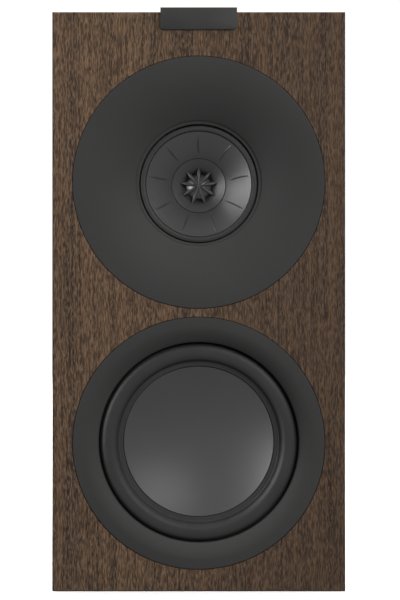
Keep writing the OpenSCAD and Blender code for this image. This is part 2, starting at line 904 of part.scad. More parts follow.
module woofer_spider() {
    color([0.75, 0.62, 0.30])
        on_baffle(woofer_z) spider(woofer_coil_r + glue, woofer_spider_r, woofer_spider_z, 5);
}

module woofer_top_plate() {
    color([0.55, 0.55, 0.56])
        on_baffle(woofer_z)
            ring(woofer_coil_r + winding_t + coil_gap, woofer_seat_r, woofer_plate_z, woofer_seat_z);
}

module woofer_magnet() {
    color([0.16, 0.16, 0.17])
        on_baffle(woofer_z) ring(woofer_coil_r + 11, woofer_magnet_r, woofer_magnet_z, woofer_plate_z);
}

module woofer_yoke() {
    color([0.55, 0.55, 0.56])
        on_baffle(woofer_z)
            yoke(
                woofer_seat_r, yoke_plate_t, woofer_magnet_z,
                woofer_coil_r - former_t - pole_gap, woofer_seat_z, 6
            );
}

// ---------- coaxial driver ----------

module coax_flare() {
    wall_r = throat_hole_r + 1.7;
    steps = 14;
    face = [
        for (i = [0:steps]) let (r = disc_r - rim_bevel - (disc_r - rim_bevel - throat_r) * i / steps)
            [r, flare_z(r)]
    ];
    back_start = throat_r + 1.5;
    back_end = basket_r - basket_wall - 1;
    back = [
        for (i = [0:6]) let (r = back_start + (back_end - back_start) * i / 6)
            [r, flare_z(r) - trim_t]
    ];
    color([0.24, 0.23, 0.22])
        on_baffle(coax_z)
            rotate_extrude()
                polygon(concat(
                    face,
                    [
                        [throat_hole_r + 0.3, throat_lip_z + 0.4],
                        [throat_hole_r, throat_lip_z],
                        [throat_hole_r, mid_flange_z],
                        [wall_r, mid_flange_z],
                    ],
                    back,
                    [[basket_r - basket_wall - 0.2, -trim_t], [disc_r, -trim_t], [disc_r, -rim_bevel]]
                ));
}

module coax_basket() {
    wall_r = basket_r - basket_wall;
    web_t = 3;
    inner_r = throat_hole_r + 0.3;
    cage_t = 2.5;
    color([0.13, 0.13, 0.13])
        on_baffle(coax_z)
            difference() {
                union() {
                    rotate_extrude()
                        polygon([
                            [flange_r, flange_top],
                            [wall_r, flange_top],
                            [wall_r, flange_top - 4.5],
                            [mid_landing_r, mid_landing_z],
                            [inner_r, mid_landing_z],
                            [inner_r, mid_landing_z - web_t],
                            [mid_cage_r - cage_t, mid_landing_z - web_t],
                            [mid_cage_r - cage_t, mid_seat_z],
                            [mid_coil_r + 4, mid_seat_z],
                            [mid_coil_r + 4, mid_seat_z - mid_seat_t],
                            [mid_cage_r, mid_seat_z - mid_seat_t],
                            [mid_cage_r, mid_landing_z - web_t - 1],
                            [mid_landing_r + 1, mid_landing_z - web_t],
                            [basket_r, flange_top - 4.5 - web_t],
                            [basket_r, flange_bottom],
                            [flange_r, flange_bottom],
                        ]);
                    ring(mid_spider_r - 3, mid_cage_r - 1, mid_spider_z - 2, mid_spider_z - 0.6);
                }
                round_copies(6)
                    translate([mid_cage_r, 0, (mid_landing_z + mid_spider_z) / 2])
                        cube([12, 28, mid_landing_z - mid_spider_z - 11], center = true);
                driver_screw_holes();
            }
}

module coax_gasket() {
    color([0.3, 0.3, 0.3]) on_baffle(coax_z) driver_gasket();
}

module coax_screws() {
    color([0.15, 0.15, 0.15]) on_baffle(coax_z) driver_screws();
}

module mid_surround() {
    crown_r = (mid_ring_inner_r + mid_ring_outer_r) / 2;
    color([0.15, 0.15, 0.15])
        on_baffle(coax_z)
            rotate_extrude()
                polygon([
                    [mid_ring_inner_r, mid_ring_z],
                    [mid_ring_inner_r, mid_ring_z + rubber_t],
                    [crown_r - 1, mid_ring_z + rubber_t + 0.25],
                    [crown_r + 1, mid_ring_z + rubber_t + 0.25],
                    [mid_ring_outer_r, mid_ring_z + rubber_t],
                    [mid_ring_outer_r, mid_flange_z],
                    [mid_flange_r, mid_flange_z],
                    [mid_flange_r, mid_flange_z - rubber_t],
                    [mid_ring_outer_r - 0.8, mid_flange_z - rubber_t],
                    [mid_ring_outer_r - 0.8, mid_ring_z],
                ]);
}

module mid_cone() {
    steps = 8;
    radii = [for (i = [0:steps]) mid_inner_r + (mid_cone_r - mid_inner_r) * i / steps];
    rim_r = mid_cone_r + 1.8;
    face = [for (r = radii) [r, mid_cone_z(r)]];
    back = [for (i = [steps:-1:0]) [radii[i], mid_cone_z(radii[i]) - mid_cone_t]];
    rib_start = mid_inner_r + 4.7;
    rib_end = mid_cone_r - 2.4;
    rib_steps = 4;
    rib_r = [for (i = [0:rib_steps]) rib_start + (rib_end - rib_start) * i / rib_steps];
    color([0.27, 0.26, 0.25])
        on_baffle(coax_z) {
            rotate_extrude()
                polygon(concat(face, [[rim_r, mid_rim_z], [rim_r, mid_rim_z - mid_cone_t]], back));
            round_copies(fin_count, 90)
                rotate([90, 0, 0])
                    linear_extrude(height = 0.9, center = true)
                        polygon(concat(
                            [for (r = rib_r) [r, mid_cone_z(r) + (r > rib_start && r < rib_end ? 0.5 : 0)]],
                            [for (i = [rib_steps:-1:0]) [rib_r[i], mid_cone_z(rib_r[i]) - mid_cone_t / 2]]
                        ));
        }
}

module mid_voice_coil() {
    centre_z = mid_seat_z - mid_seat_t - top_plate_t / 2;
    half_winding = top_plate_t / 2 + 2;
    color([0.72, 0.45, 0.20])
        on_baffle(coax_z)
            voice_coil(
                mid_coil_r, winding_t, mid_cone_z(mid_inner_r) - 0.1,
                centre_z + half_winding, centre_z - half_winding
            );
}

module mid_spider() {
    color([0.75, 0.62, 0.30])
        on_baffle(coax_z) spider(mid_coil_r + glue, mid_spider_r, mid_spider_z, 2);
}

module mid_top_plate() {
    color([0.55, 0.55, 0.56])
        on_baffle(coax_z)
            ring(mid_coil_r + winding_t + coil_gap, mid_seat_r, mid_plate_z, mid_seat_z - mid_seat_t);
}

module mid_magnet() {
    color([0.16, 0.16, 0.17])
        on_baffle(coax_z) ring(mid_coil_r + 9, mid_magnet_r, mid_magnet_z, mid_plate_z);
}

module mid_yoke() {
    color([0.55, 0.55, 0.56])
        on_baffle(coax_z)
            yoke(mid_seat_r, mid_yoke_t, mid_magnet_z, pole_r, mid_seat_z, pole_bore_r);
}

module mid_chamber() {
    color([0.12, 0.12, 0.12])
        on_baffle(coax_z)
            rotate_extrude()
                polygon([
                    [cutout_r, -baffle_t],
                    [chamber_flange_r, -baffle_t],
                    [chamber_flange_r, -baffle_t - 3],
                    [cutout_r + chamber_wall, -baffle_t - 3],
                    [chamber_back_r + 4, -chamber_depth + 10],
                    [chamber_back_r, -chamber_depth],
                    [0, -chamber_depth],
                    [0, chamber_wall - chamber_depth],
                    [chamber_back_r - 1.5, chamber_wall - chamber_depth],
                    [chamber_back_r + 4 - chamber_wall, -chamber_depth + 11],
                    [cutout_r, -baffle_t - 4],
                ]);
}

module mid_chamber_wadding() {
    color([0.85, 0.85, 0.82])
        on_baffle(coax_z)
            translate([0, 0, chamber_wall - chamber_depth])
                cylinder(
                    h = mid_magnet_z - mid_yoke_t - air - chamber_wall + chamber_depth,
                    r = chamber_back_r - 4
                );
}

// ---------- tweeter ----------

// One fin, seen from the front: a slim kite
module fin_outline() {
    tip_r = dome_r + fin_reach;
    polygon([
        [0.5, -fin_root_w / 2],
        [dome_r, -fin_w / 2],
        [tip_r, -fin_tip_w / 2],
        [tip_r, fin_tip_w / 2],
        [dome_r, fin_w / 2],
        [0.5, fin_root_w / 2],
    ]);
}

module tweeter_waveguide() {
    seat_r = pole_bore_r;
    hub_z = dome_z + dome_h + 2.5;
    hub_r = 1.3;
    fin_clear = 1.1;
    tip_r = dome_r + fin_reach + 0.2;
    color([0.16, 0.16, 0.16])
        on_baffle(coax_z) {
            rotate_extrude()
                polygon([
                    [pole_r, guide_rim_z],
                    [guide_throat_r, dome_z],
                    [guide_throat_r, dome_z - 0.8],
                    [seat_r, dome_z - 0.8],
                    [seat_r, mid_seat_z],
                    [pole_r, mid_seat_z],
                ]);
            difference() {
                intersection() {
                    translate([0, 0, dome_z - 0.5])
                        linear_extrude(height = hub_z - dome_z + 1)
                            union() {
                                round_copies(fin_count, 90) fin_outline();
                                circle(r = hub_r);
                            }
                    rotate_extrude()
                        polygon([
                            [0, dome_z - 1],
                            [0, hub_z],
                            [5, hub_z - 0.2],
                            [dome_r + 3, hub_z - 1.2],
                            [tip_r, hub_z - 2.6],
                            [tip_r, dome_z - 1],
                        ]);
                }
                translate([0, 0, dome_z + dome_h - dome_ball_r]) sphere(r = dome_ball_r + fin_clear);
            }
        }
}

module tweeter_dome() {
    centre = [0, dome_z + dome_h - dome_ball_r];
    span = asin(dome_r / dome_ball_r);
    color([0.55, 0.55, 0.56])
        on_baffle(coax_z)
            rotate_extrude()
                polygon(concat(
                    arc(centre, dome_ball_r, 90, 90 - span, 6),
                    arc(centre, dome_ball_r - dome_t, 90 - span, 90, 6)
                ));
}

module tweeter_surround() {
    outer_r = tweeter_yoke_r - 0.2;
    centre = [tweeter_coil_r + 1.3, tweeter_surround_z];
    color([0.09, 0.09, 0.09])
        on_baffle(coax_z)
            rotate_extrude()
                polygon(concat(
                    arc(centre, 1, 180, 0, 8),
                    [
                        [outer_r - 0.8, tweeter_surround_z],
                        [outer_r - 0.8, tweeter_face_z + 0.4],
                        [outer_r, tweeter_face_z + 0.4],
                        [outer_r, tweeter_face_z],
                        [outer_r - 1.2, tweeter_face_z],
                        [outer_r - 1.2, tweeter_surround_z - 0.4],
                    ],
                    [
                        [tweeter_coil_r + glue, tweeter_surround_z - 0.4],
                        [tweeter_coil_r + glue, tweeter_surround_z],
                    ]
                ));
}

module tweeter_voice_coil() {
    color([0.72, 0.45, 0.20])
        on_baffle(coax_z)
            voice_coil(
                tweeter_coil_r, tweeter_winding_t, dome_z - dome_t - glue,
                tweeter_face_z + 0.3, tweeter_face_z - 4
            );
}

module tweeter_pole_disc() {
    color([0.55, 0.55, 0.56])
        on_baffle(coax_z)
            translate([0, 0, tweeter_face_z - tweeter_pole_t - 0.6])
                cylinder(h = tweeter_pole_t, r = tweeter_magnet_r);
}

module tweeter_magnet() {
    color([0.70, 0.70, 0.72])
        on_baffle(coax_z)
            translate([0, 0, tweeter_face_z - tweeter_pole_t - 0.6 - tweeter_magnet_t])
                cylinder(h = tweeter_magnet_t, r = tweeter_magnet_r - 0.3);
}

module tweeter_yoke() {
    floor_z = tweeter_face_z - tweeter_pole_t - 0.6 - tweeter_magnet_t;
    color([0.50, 0.50, 0.51])
        on_baffle(coax_z)
            difference() {
                translate([0, 0, floor_z - tweeter_base_t])
                    cylinder(h = tweeter_face_z - floor_z + tweeter_base_t, r = tweeter_yoke_r);
                translate([0, 0, floor_z])
                    cylinder(h = tweeter_face_z - floor_z + 1, r = tweeter_cup_r);
            }
}

front_baffle();
left_side_panel();
right_side_panel();
top_panel();
bottom_panel();
back_panel();
shelf_brace();
cabinet_wadding();
grille_magnets();
stand_inserts();
badge();
port_tube();
terminal_plate();
terminal_gasket();
terminal_screws();
positive_post();
negative_post();
post_nuts();
positive_knob_sleeve();
negative_knob_sleeve();
positive_knob();
negative_knob();
crossover_board();
crossover_inductors();
crossover_capacitors();
crossover_resistors();
crossover_spacers();
driver_leads();
woofer_trim_ring();
woofer_basket();
woofer_gasket();
woofer_screws();
woofer_surround();
woofer_cone();
woofer_cone_body();
woofer_voice_coil();
woofer_spider();
woofer_top_plate();
woofer_magnet();
woofer_yoke();
coax_flare();
coax_basket();
coax_gasket();
coax_screws();
mid_surround();
mid_cone();
mid_voice_coil();
mid_spider();
mid_top_plate();
mid_magnet();
mid_yoke();
mid_chamber();
mid_chamber_wadding();
tweeter_waveguide();
tweeter_dome();
tweeter_surround();
tweeter_voice_coil();
tweeter_pole_disc();
tweeter_magnet();
tweeter_yoke();
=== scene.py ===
# %% [markdown]
# # A bookshelf speaker, piece by piece
# This lesson dresses the CAD model of a three-way speaker: a walnut box, a coaxial midrange
# and tweeter in a wide flare, and a bass driver below. The CAD model keeps every size and every
# joint. Here each visible piece gets the surface that the real one has.
# The frame is loaded first, because every later piece takes its place from it.

# %% Load the frame
import json
import math

import bmesh
import bpy
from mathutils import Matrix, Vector


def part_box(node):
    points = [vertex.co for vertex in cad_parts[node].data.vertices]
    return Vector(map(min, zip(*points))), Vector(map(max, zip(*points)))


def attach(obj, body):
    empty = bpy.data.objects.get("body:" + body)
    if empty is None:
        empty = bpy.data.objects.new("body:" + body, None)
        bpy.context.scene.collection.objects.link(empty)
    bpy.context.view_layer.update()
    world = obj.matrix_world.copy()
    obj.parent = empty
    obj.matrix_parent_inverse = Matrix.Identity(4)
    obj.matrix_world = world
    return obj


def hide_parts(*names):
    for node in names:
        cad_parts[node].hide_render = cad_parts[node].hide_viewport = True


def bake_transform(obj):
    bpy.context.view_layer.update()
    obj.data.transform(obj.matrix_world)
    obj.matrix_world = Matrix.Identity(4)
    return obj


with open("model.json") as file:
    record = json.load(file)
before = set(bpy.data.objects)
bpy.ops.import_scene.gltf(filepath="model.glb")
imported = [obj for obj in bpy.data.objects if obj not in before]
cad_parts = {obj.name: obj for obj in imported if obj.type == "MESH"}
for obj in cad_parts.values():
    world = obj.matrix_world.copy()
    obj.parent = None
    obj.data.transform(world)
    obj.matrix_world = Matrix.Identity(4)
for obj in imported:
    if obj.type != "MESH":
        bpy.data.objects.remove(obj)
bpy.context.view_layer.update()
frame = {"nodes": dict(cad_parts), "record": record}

# %% [markdown]
# The two drivers are round, and their axes run along Y. A driver's own measures are kept as
# (radius, height) pairs in millimetres, where height 0 is the front of the baffle and plus is
# towards the listener. The heights of the axes and the radius of the discs come from the frame.

# %% Places from the frame
MM = 0.001


def middle(node):
    low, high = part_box(node)
    return (low + high) / 2


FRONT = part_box("front_baffle")[0].y
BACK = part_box("back_panel")[1].y
COAX = Vector((0, FRONT, middle("coax_flare").z))
WOOFER = Vector((0, FRONT, middle("woofer_trim_ring").z))
PORT = Vector((0, BACK, middle("port_tube").z))
TERMINAL = Vector((0, BACK, middle("terminal_plate").z))
DISC_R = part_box("coax_flare")[1].x / MM
print("disc radius", round(DISC_R, 1), "mm; axes at", round(COAX.z, 4), "and", round(WOOFER.z, 4))

# %% [markdown]
# Nodes are easier to read when each takes one line. This small helper adds a node, sets its
# own properties, and fills its inputs with numbers or with other nodes' outputs.


# %% A short way to write nodes
class Nodes:
    """Adds nodes to a tree. Inputs are given by name or by number."""

    def __init__(self, tree):
        self.tree = tree

    def add(self, kind, inputs=None, **settings):
        node = self.tree.nodes.new(kind)
        for key, value in settings.items():
            setattr(node, key, value)
        return self.fill(node, inputs or {})

    def fill(self, node, inputs):
        for key, value in inputs.items():
            if isinstance(value, bpy.types.NodeSocket):
                self.tree.links.new(value, node.inputs[key])
            else:
                node.inputs[key].default_value = value
        return node

    def group(self, tree, inputs):
        node = self.add("ShaderNodeGroup")
        node.node_tree = tree
        return self.fill(node, inputs).outputs

    def math(self, operation, a, b=0.0, clamp=False):
        node = self.add("ShaderNodeMath", {0: a, 1: b}, operation=operation, use_clamp=clamp)
        return node.outputs[0]

    def blend(self, share, a, b):
        node = self.add("ShaderNodeMix", {"Factor": share, 6: a, 7: b}, data_type="RGBA")
        return node.outputs[2]

    def span(self, value, low, high, new_low=0.0, new_high=1.0):
        places = {0: value, 1: low, 2: high, 3: new_low, 4: new_high}
        return self.add("ShaderNodeMapRange", places).outputs[0]


def new_group(name, kind, inputs, outputs):
    """An empty node group with named inputs and outputs, and a helper to fill it."""
    tree = bpy.data.node_groups.new(name, kind)
    for title, socket_type, default in inputs:
        socket = tree.interface.new_socket(title, in_out="INPUT", socket_type=socket_type)
        if default is not None:
            socket.default_value = default
    for title, socket_type in outputs:
        tree.interface.new_socket(title, in_out="OUTPUT", socket_type=socket_type)
    nodes = Nodes(tree)
    given = nodes.add("NodeGroupInput").outputs
    result = nodes.add("NodeGroupOutput").inputs
    return tree, nodes, given, result


FLOAT, VECTOR = "NodeSocketFloat", "NodeSocketVector"
GEOMETRY, INTEGER = "NodeSocketGeometry", "NodeSocketInt"
OBJECT, SURFACE = "NodeSocketObject", "NodeSocketMaterial"
print("node helpers ready")

# %% [markdown]
# ## Finishes
# Most parts of a speaker are dark and plain, so their character is in two things: a slow
# cloudiness of the tone, and a fine grain that breaks up the highlight. Both come from one
# shader group, and each material picks its own scale and strength.


# %% The group for moulded, painted and cast surfaces
def make_fine_surface():
    tree, nodes, given, result = new_group(
        "Fine surface",
        "ShaderNodeTree",
        [("Place", VECTOR, None), ("Cloud Scale", FLOAT, 20.0), ("Grain Scale", FLOAT, 2500.0)],
        [("Cloud", FLOAT), ("Grain", FLOAT)],
    )
    place = given["Place"]
    cloud = nodes.add(
        "ShaderNodeTexNoise", {"Vector": place, "Scale": given["Cloud Scale"], "Detail": 4.0}
    )
    grain = nodes.add(
        "ShaderNodeTexNoise", {"Vector": place, "Scale": given["Grain Scale"], "Detail": 2.0}
    )
    tree.links.new(nodes.span(cloud.outputs[0], 0.3, 0.7), result["Cloud"])
    tree.links.new(nodes.span(grain.outputs[0], 0.3, 0.7), result["Grain"])
    return tree


FINE_SURFACE = make_fine_surface()


def grey(value, warm=0.0):
    """A nearly grey linear colour, a little warmer with warm."""
    return (value * (1 + warm), value, value * (1 - warm), 1.0)


def surface(name, dark, light, rough, cloud=20.0, grain=2500.0, bump=0.02, metal=0.0, shine=0.5):
    """A finished surface between two tones. rough is its (lowest, highest) roughness."""
    made = bpy.data.materials.new(name)
    made.use_nodes = True
    nodes = Nodes(made.node_tree)
    shader = made.node_tree.nodes["Principled BSDF"]
    shader.inputs["Metallic"].default_value = metal
    shader.inputs["Specular IOR Level"].default_value = shine
    place = nodes.add("ShaderNodeTexCoord").outputs["Object"]
    group = nodes.group(FINE_SURFACE, {"Place": place, "Cloud Scale": cloud, "Grain Scale": grain})
    cloudy, grainy = group["Cloud"], group["Grain"]
    made.node_tree.links.new(nodes.blend(cloudy, dark, light), shader.inputs["Base Color"])
    made.node_tree.links.new(nodes.span(grainy, 0, 1, *rough), shader.inputs["Roughness"])
    bumped = nodes.add("ShaderNodeBump", {"Strength": bump * 10, "Distance": 0.0001, "Height": grainy})
    made.node_tree.links.new(bumped.outputs["Normal"], shader.inputs["Normal"])
    return made


TRIM = surface("driver_trim", grey(0.036, 0.02), grey(0.042, 0.02), (0.50, 0.58), cloud=12, shine=0.35)
THROAT = surface("waveguide_plastic", grey(0.14), grey(0.16), (0.32, 0.38), cloud=60, metal=0.85, bump=0.008)
RUBBER = surface("surround_rubber", grey(0.021), grey(0.027), (0.36, 0.42), cloud=35, grain=4000, shine=0.9)
CONE = surface("cone_metal", grey(0.19), grey(0.21), (0.34, 0.40), cloud=15, metal=0.9, bump=0.008)
DOME = surface("dome_metal", grey(0.20), grey(0.24), (0.22, 0.28), cloud=90, metal=1.0, bump=0.006)
BLACK = surface("black_plastic", grey(0.016), grey(0.022), (0.45, 0.60), cloud=25, grain=1800, bump=0.05)
VINYL_TONES = (grey(0.014, 0.04), grey(0.020, 0.04))
VINYL = surface("black_vinyl", *VINYL_TONES, (0.55, 0.72), cloud=9, grain=1200, bump=0.12)
BADGE_TONES = (grey(0.045, 0.02), grey(0.052, 0.02))
BADGE = surface("badge_metal", *BADGE_TONES, (0.40, 0.48), cloud=40, metal=0.2, shine=0.3)
BRASS = surface("brass", (0.62, 0.43, 0.17, 1), (0.70, 0.50, 0.21, 1), (0.20, 0.32), cloud=120, metal=1.0)
RED = surface("red_plastic", (0.36, 0.010, 0.008, 1), (0.42, 0.014, 0.010, 1), (0.25, 0.33), cloud=80)
STEEL_SCREWS = surface("black_steel", grey(0.05), grey(0.07), (0.28, 0.40), cloud=200, metal=0.8)
print("finishes so far:", len(bpy.data.materials))

# %% [markdown]
# ## Walnut
# Walnut veneer is brown with long, nearly straight figure: broad light and dark bands, narrower
# streaks, fine fibres, pale flecks and short dark pores, all along the grain. Each of the five
# is noise that is stretched along one axis, at a size of its own. The group puts out masks only,
# and the material turns them into colour, roughness and height.


# %% The group for wood grain
def make_wood_grain():
    tree, nodes, given, result = new_group(
        "Wood grain",
        "ShaderNodeTree",
        [("Place", VECTOR, None)],
        [(title, FLOAT) for title in ("Bands", "Streaks", "Fibres", "Flecks", "Pores")],
    )

    def stretched(across, along, detail, place, shift):
        """Noise that is finer across the grain than along it. The scales are per metre."""
        places = {"Vector": place, "Location": (shift, shift, shift), "Scale": (across, across, along)}
        squeezed = nodes.add("ShaderNodeMapping", places).outputs[0]
        noise = nodes.add("ShaderNodeTexNoise", {"Vector": squeezed, "Scale": 1.0, "Detail": detail})
        return noise.outputs[0]

    # A slow sideways drift keeps the figure from being ruled straight.
    drift = nodes.math("MULTIPLY", stretched(9, 5, 1, given["Place"], 1.0), 0.010)
    offset = nodes.add("ShaderNodeCombineXYZ", {0: drift, 1: drift}).outputs[0]
    moved = nodes.add("ShaderNodeVectorMath", {0: given["Place"], 1: offset}, operation="ADD")
    drifted = moved.outputs[0]
    bands = stretched(75, 1.0, 3, drifted, 2.0)
    streaks = stretched(240, 1.6, 4, drifted, 5.0)
    fibres = stretched(700, 6, 2, drifted, 3.0)
    flecks = stretched(1250, 260, 2, drifted, 7.0)
    pores = stretched(1150, 170, 2, drifted, 11.0)
    tree.links.new(nodes.span(bands, 0.40, 0.60), result["Bands"])
    tree.links.new(nodes.span(streaks, 0.42, 0.60), result["Streaks"])
    tree.links.new(nodes.span(fibres, 0.38, 0.62), result["Fibres"])
    tree.links.new(nodes.span(flecks, 0.43, 0.60), result["Flecks"])
    tree.links.new(nodes.span(pores, 0.45, 0.60), result["Pores"])
    return tree


WOOD_GRAIN = make_wood_grain()


def walnut(name, turn):
    """Walnut whose grain runs along Z once the pattern is turned by turn."""
    made = bpy.data.materials.new(name)
    made.use_nodes = True
    nodes = Nodes(made.node_tree)
    shader = made.node_tree.nodes["Principled BSDF"]
    shader.inputs["Specular IOR Level"].default_value = 0.25
    place = nodes.add("ShaderNodeTexCoord").outputs["Object"]
    turned = nodes.add("ShaderNodeMapping", {"Vector": place, "Rotation": turn}).outputs[0]
    grain = nodes.group(WOOD_GRAIN, {"Place": turned})
    smoke, umber, brown, honey = WALNUT_TONES
    base = nodes.blend(grain["Bands"], umber, brown)
    base = nodes.blend(nodes.math("MULTIPLY", grain["Streaks"], 0.68), base, smoke)
    base = nodes.blend(nodes.math("MULTIPLY", grain["Fibres"], 0.42), base, honey)
    base = nodes.blend(nodes.math("MULTIPLY", grain["Flecks"], 0.60), base, honey)
    base = nodes.blend(nodes.math("MULTIPLY", grain["Pores"], 0.66), base, smoke)
    # The colour darkens slowly towards one side, the right of the upright panels. This is partly the
    # veneer's own tone and partly painted shade for light that falls off away from the left. On the
    # panels with their grain across, that side is upwards, so the top panel takes the full darkening
    # evenly, as painted shade that tones down the light from above.
    sideways = nodes.add("ShaderNodeSeparateXYZ", {0: turned}).outputs[0]
    veneer_and_side_shade = nodes.span(sideways, -0.05, 0.11, 0.0, 0.45)
    base = nodes.blend(veneer_and_side_shade, base, smoke)
    made.node_tree.links.new(base, shader.inputs["Base Color"])
    made.node_tree.links.new(nodes.span(grain["Flecks"], 0, 1, 0.50, 0.62), shader.inputs["Roughness"])
    height = nodes.math("SUBTRACT", nodes.math("MULTIPLY", grain["Flecks"], 0.5), grain["Pores"])
    bumped = nodes.add("ShaderNodeBump", {"Strength": 0.5, "Distance": 0.0001, "Height": height})
    made.node_tree.links.new(bumped.outputs["Normal"], shader.inputs["Normal"])
    return made


WALNUT_TONES = (
    (0.020, 0.014, 0.011, 1),
    (0.034, 0.023, 0.018, 1),
    (0.112, 0.064, 0.036, 1),
    (0.235, 0.148, 0.090, 1),
)
UPRIGHT = walnut("walnut_upright", (0, 0, 0))
ACROSS = walnut("walnut_across", (0, math.radians(90), 0))
print("walnut ready, upright and across")

# %% [markdown]
# ## Round pieces
# Flares, cones and surrounds are all turned shapes. A lathe helper takes a closed outline of
# (radius, height) pairs and turns it round the driver's axis. Corners are rounded while the
# outline is drawn, because a sharp edge never catches the light as a real one does.


# %% The lathe
def rounded(corners, steps=5):
    """An outline from (radius, height, rounding) corners. A rounding of 0 keeps the point."""
    outline = []
    count = len(corners)
    for i, (r, h, size) in enumerate(corners):
        here = Vector((r, h))
        if not size:
            outline.append(here)
            continue
        before = Vector(corners[i - 1][:2]) - here
        after = Vector(corners[(i + 1) % count][:2]) - here
        cut = min(size, 0.45 * before.length, 0.45 * after.length)
        start, end = here + before.normalized() * cut, here + after.normalized() * cut
        for k in range(steps + 1):
            t = k / steps
            outline.append(start * (1 - t) ** 2 + here * 2 * t * (1 - t) + end * t * t)
    return outline


def plain(points):
    """Outline corners that stay as they are, such as those along a smooth curve."""
    return [(r, h, 0) for r, h in points]


def arc(centre, radius, first, last, steps):
    """Points along an arc, with angles in degrees."""
    angles = [math.radians(first + (last - first) * i / steps) for i in range(steps + 1)]
    return [(centre[0] + radius * math.cos(a), centre[1] + radius * math.sin(a)) for a in angles]


def mesh_object(name, points, faces):
    """A smooth mesh with outward faces and its merged points, and sharp edges kept sharp."""
    mesh = bpy.data.meshes.new(name)
    mesh.from_pydata([tuple(p) for p in points], [], faces)
    work = bmesh.new()
    work.from_mesh(mesh)
    bmesh.ops.remove_doubles(work, verts=work.verts, dist=1e-7)
    bmesh.ops.recalc_face_normals(work, faces=work.faces)
    soften(work)
    work.to_mesh(mesh)
    work.free()
    made = bpy.data.objects.new(name, mesh)
    bpy.context.scene.collection.objects.link(made)
    return made


def soften(work, sharp_angle=38):
    """Smooth faces, with the edges over the sharp angle left hard."""
    for face in work.faces:
        face.smooth = True
    for edge in work.edges:
        if len(edge.link_faces) == 2:
            edge.smooth = edge.calc_face_angle(0) < math.radians(sharp_angle)


def lathe(name, outline, centre, facing=-1, steps=256):
    """Turns a closed outline round the Y axis through centre. facing is -1 for the front."""
    rings, points = [], []
    for r, h in outline:
        turns = 1 if r < 1e-6 else steps
        rings.append([len(points) + i for i in range(turns)])
        for i in range(turns):
            a = 2 * math.pi * i / steps
            offset = Vector((r * math.cos(a), facing * h, r * math.sin(a))) * MM
            points.append(centre + offset)
    faces = []
    for k, ring in enumerate(rings):
        other = rings[(k + 1) % len(rings)]
        if len(ring) == 1 and len(other) == 1:
            continue
        for i in range(steps):
            j = (i + 1) % steps
            corner = [ring[i % len(ring)], ring[j % len(ring)], other[j % len(other)], other[i % len(other)]]
            faces.append(list(dict.fromkeys(corner)))
    return mesh_object(name, points, faces)


def settle(piece, finish, body, slot, *nodes):
    """Gives a piece its finish, its body, and the CAD nodes that it stands for. The slot is not used."""
    piece.data.materials.clear()
    piece.data.materials.append(finish)
    if body:
        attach(piece, body)
    if nodes:
        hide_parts(*nodes)
    print(piece.name, len(piece.data.polygons), "faces")
    return piece


# %% [markdown]
# ## The flare of the coaxial driver
# The upper disc is one moulded ring, a horn that starts flat at its rim and curves inward like
# the bell of a trumpet. It is a single arc, tangent to the baffle. Where it ends, a small
# rounded lip stands over the gap to the midrange's surround.

# %% Flare
FLARE_ARC = 94.0
THROAT_R = 45.0
THROAT_HOLE_R = 43.3
FLARE_T = 2.5


def flare_height(r):
    return math.sqrt(FLARE_ARC**2 - (DISC_R - r) ** 2) - FLARE_ARC


THROAT_H = flare_height(THROAT_R)
MID_FLANGE_H = THROAT_H - 3.6
SEAT_R = DISC_R - 13.5


def steps_between(first, last, count):
    return [first + (last - first) * i / count for i in range(count + 1)]


flare_face = [(r, flare_height(r)) for r in steps_between(DISC_R - 0.6, THROAT_R + 0.7, 60)]
flare_back = [(r, flare_height(r) - FLARE_T) for r in steps_between(THROAT_R + 1.5, SEAT_R - 0.8, 12)]
flare_outline = rounded(
    plain(flare_face)
    + [
        (THROAT_R + 0.45, THROAT_H, 0),
        (THROAT_R + 0.4, THROAT_H - 0.3, 0),
        (THROAT_R - 0.4, THROAT_H - 0.35, 0.2),
        (THROAT_HOLE_R, THROAT_H - 0.7, 0.35),
        (THROAT_HOLE_R, MID_FLANGE_H, 0),
        (THROAT_R, MID_FLANGE_H, 0),
    ]
    + plain(flare_back)
    + [(SEAT_R, -FLARE_T, 0), (DISC_R, -FLARE_T, 0), (DISC_R, 0, 0.5)]
)
settle(lathe("coax_flare_ring", flare_outline, COAX), TRIM, "root", "driver_trim", "coax_flare")

# %% [markdown]
# ## The midrange's surround
# This surround is nearly flat, so that it doesn't spoil the horn in front of the tweeter. It is
# glued to the cone inside and clamped under the flare outside. When the cone moves, it has to
# stretch between the two.

# %% Flat surround
MID_CONE_R = 38.4
RUBBER_T = 0.8
RING_H = MID_FLANGE_H + 0.2
GROOVE_H = MID_FLANGE_H - 4.5


def stretch_between(piece):
    """Bakes a surround's place into its points.
    """
    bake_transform(piece)
    return piece


ring_in, ring_out = MID_CONE_R + 0.4, THROAT_HOLE_R - 1
crown = [
    (r, RING_H + RUBBER_T + 0.3 * math.sin(math.pi * (r - ring_in) / (ring_out - ring_in)))
    for r in steps_between(ring_in + 0.3, ring_out - 0.3, 16)
]
mid_surround_outline = rounded(
    [(ring_in, RING_H, 0), (ring_in, RING_H + RUBBER_T, 0.2)]
    + plain(crown)
    + [
        (ring_out, RING_H + RUBBER_T, 0.12),
        (ring_out, GROOVE_H, 0.1),
        (THROAT_HOLE_R + 0.3, GROOVE_H, 0),
        (THROAT_HOLE_R + 0.3, MID_FLANGE_H, 0),
        (THROAT_R + 3, MID_FLANGE_H, 0),
        (THROAT_R + 3, MID_FLANGE_H - RUBBER_T, 0),
        (THROAT_HOLE_R + 1.1, MID_FLANGE_H - RUBBER_T, 0),
        (THROAT_HOLE_R + 1.1, GROOVE_H - RUBBER_T, 0),
        (ring_out - 0.8, GROOVE_H - RUBBER_T, 0),
        (ring_out - 0.8, RING_H, 0),
    ]
)
mid_surround = lathe("midrange_surround", mid_surround_outline, COAX)
settle(mid_surround, RUBBER, None, "surround_rubber", "mid_surround")
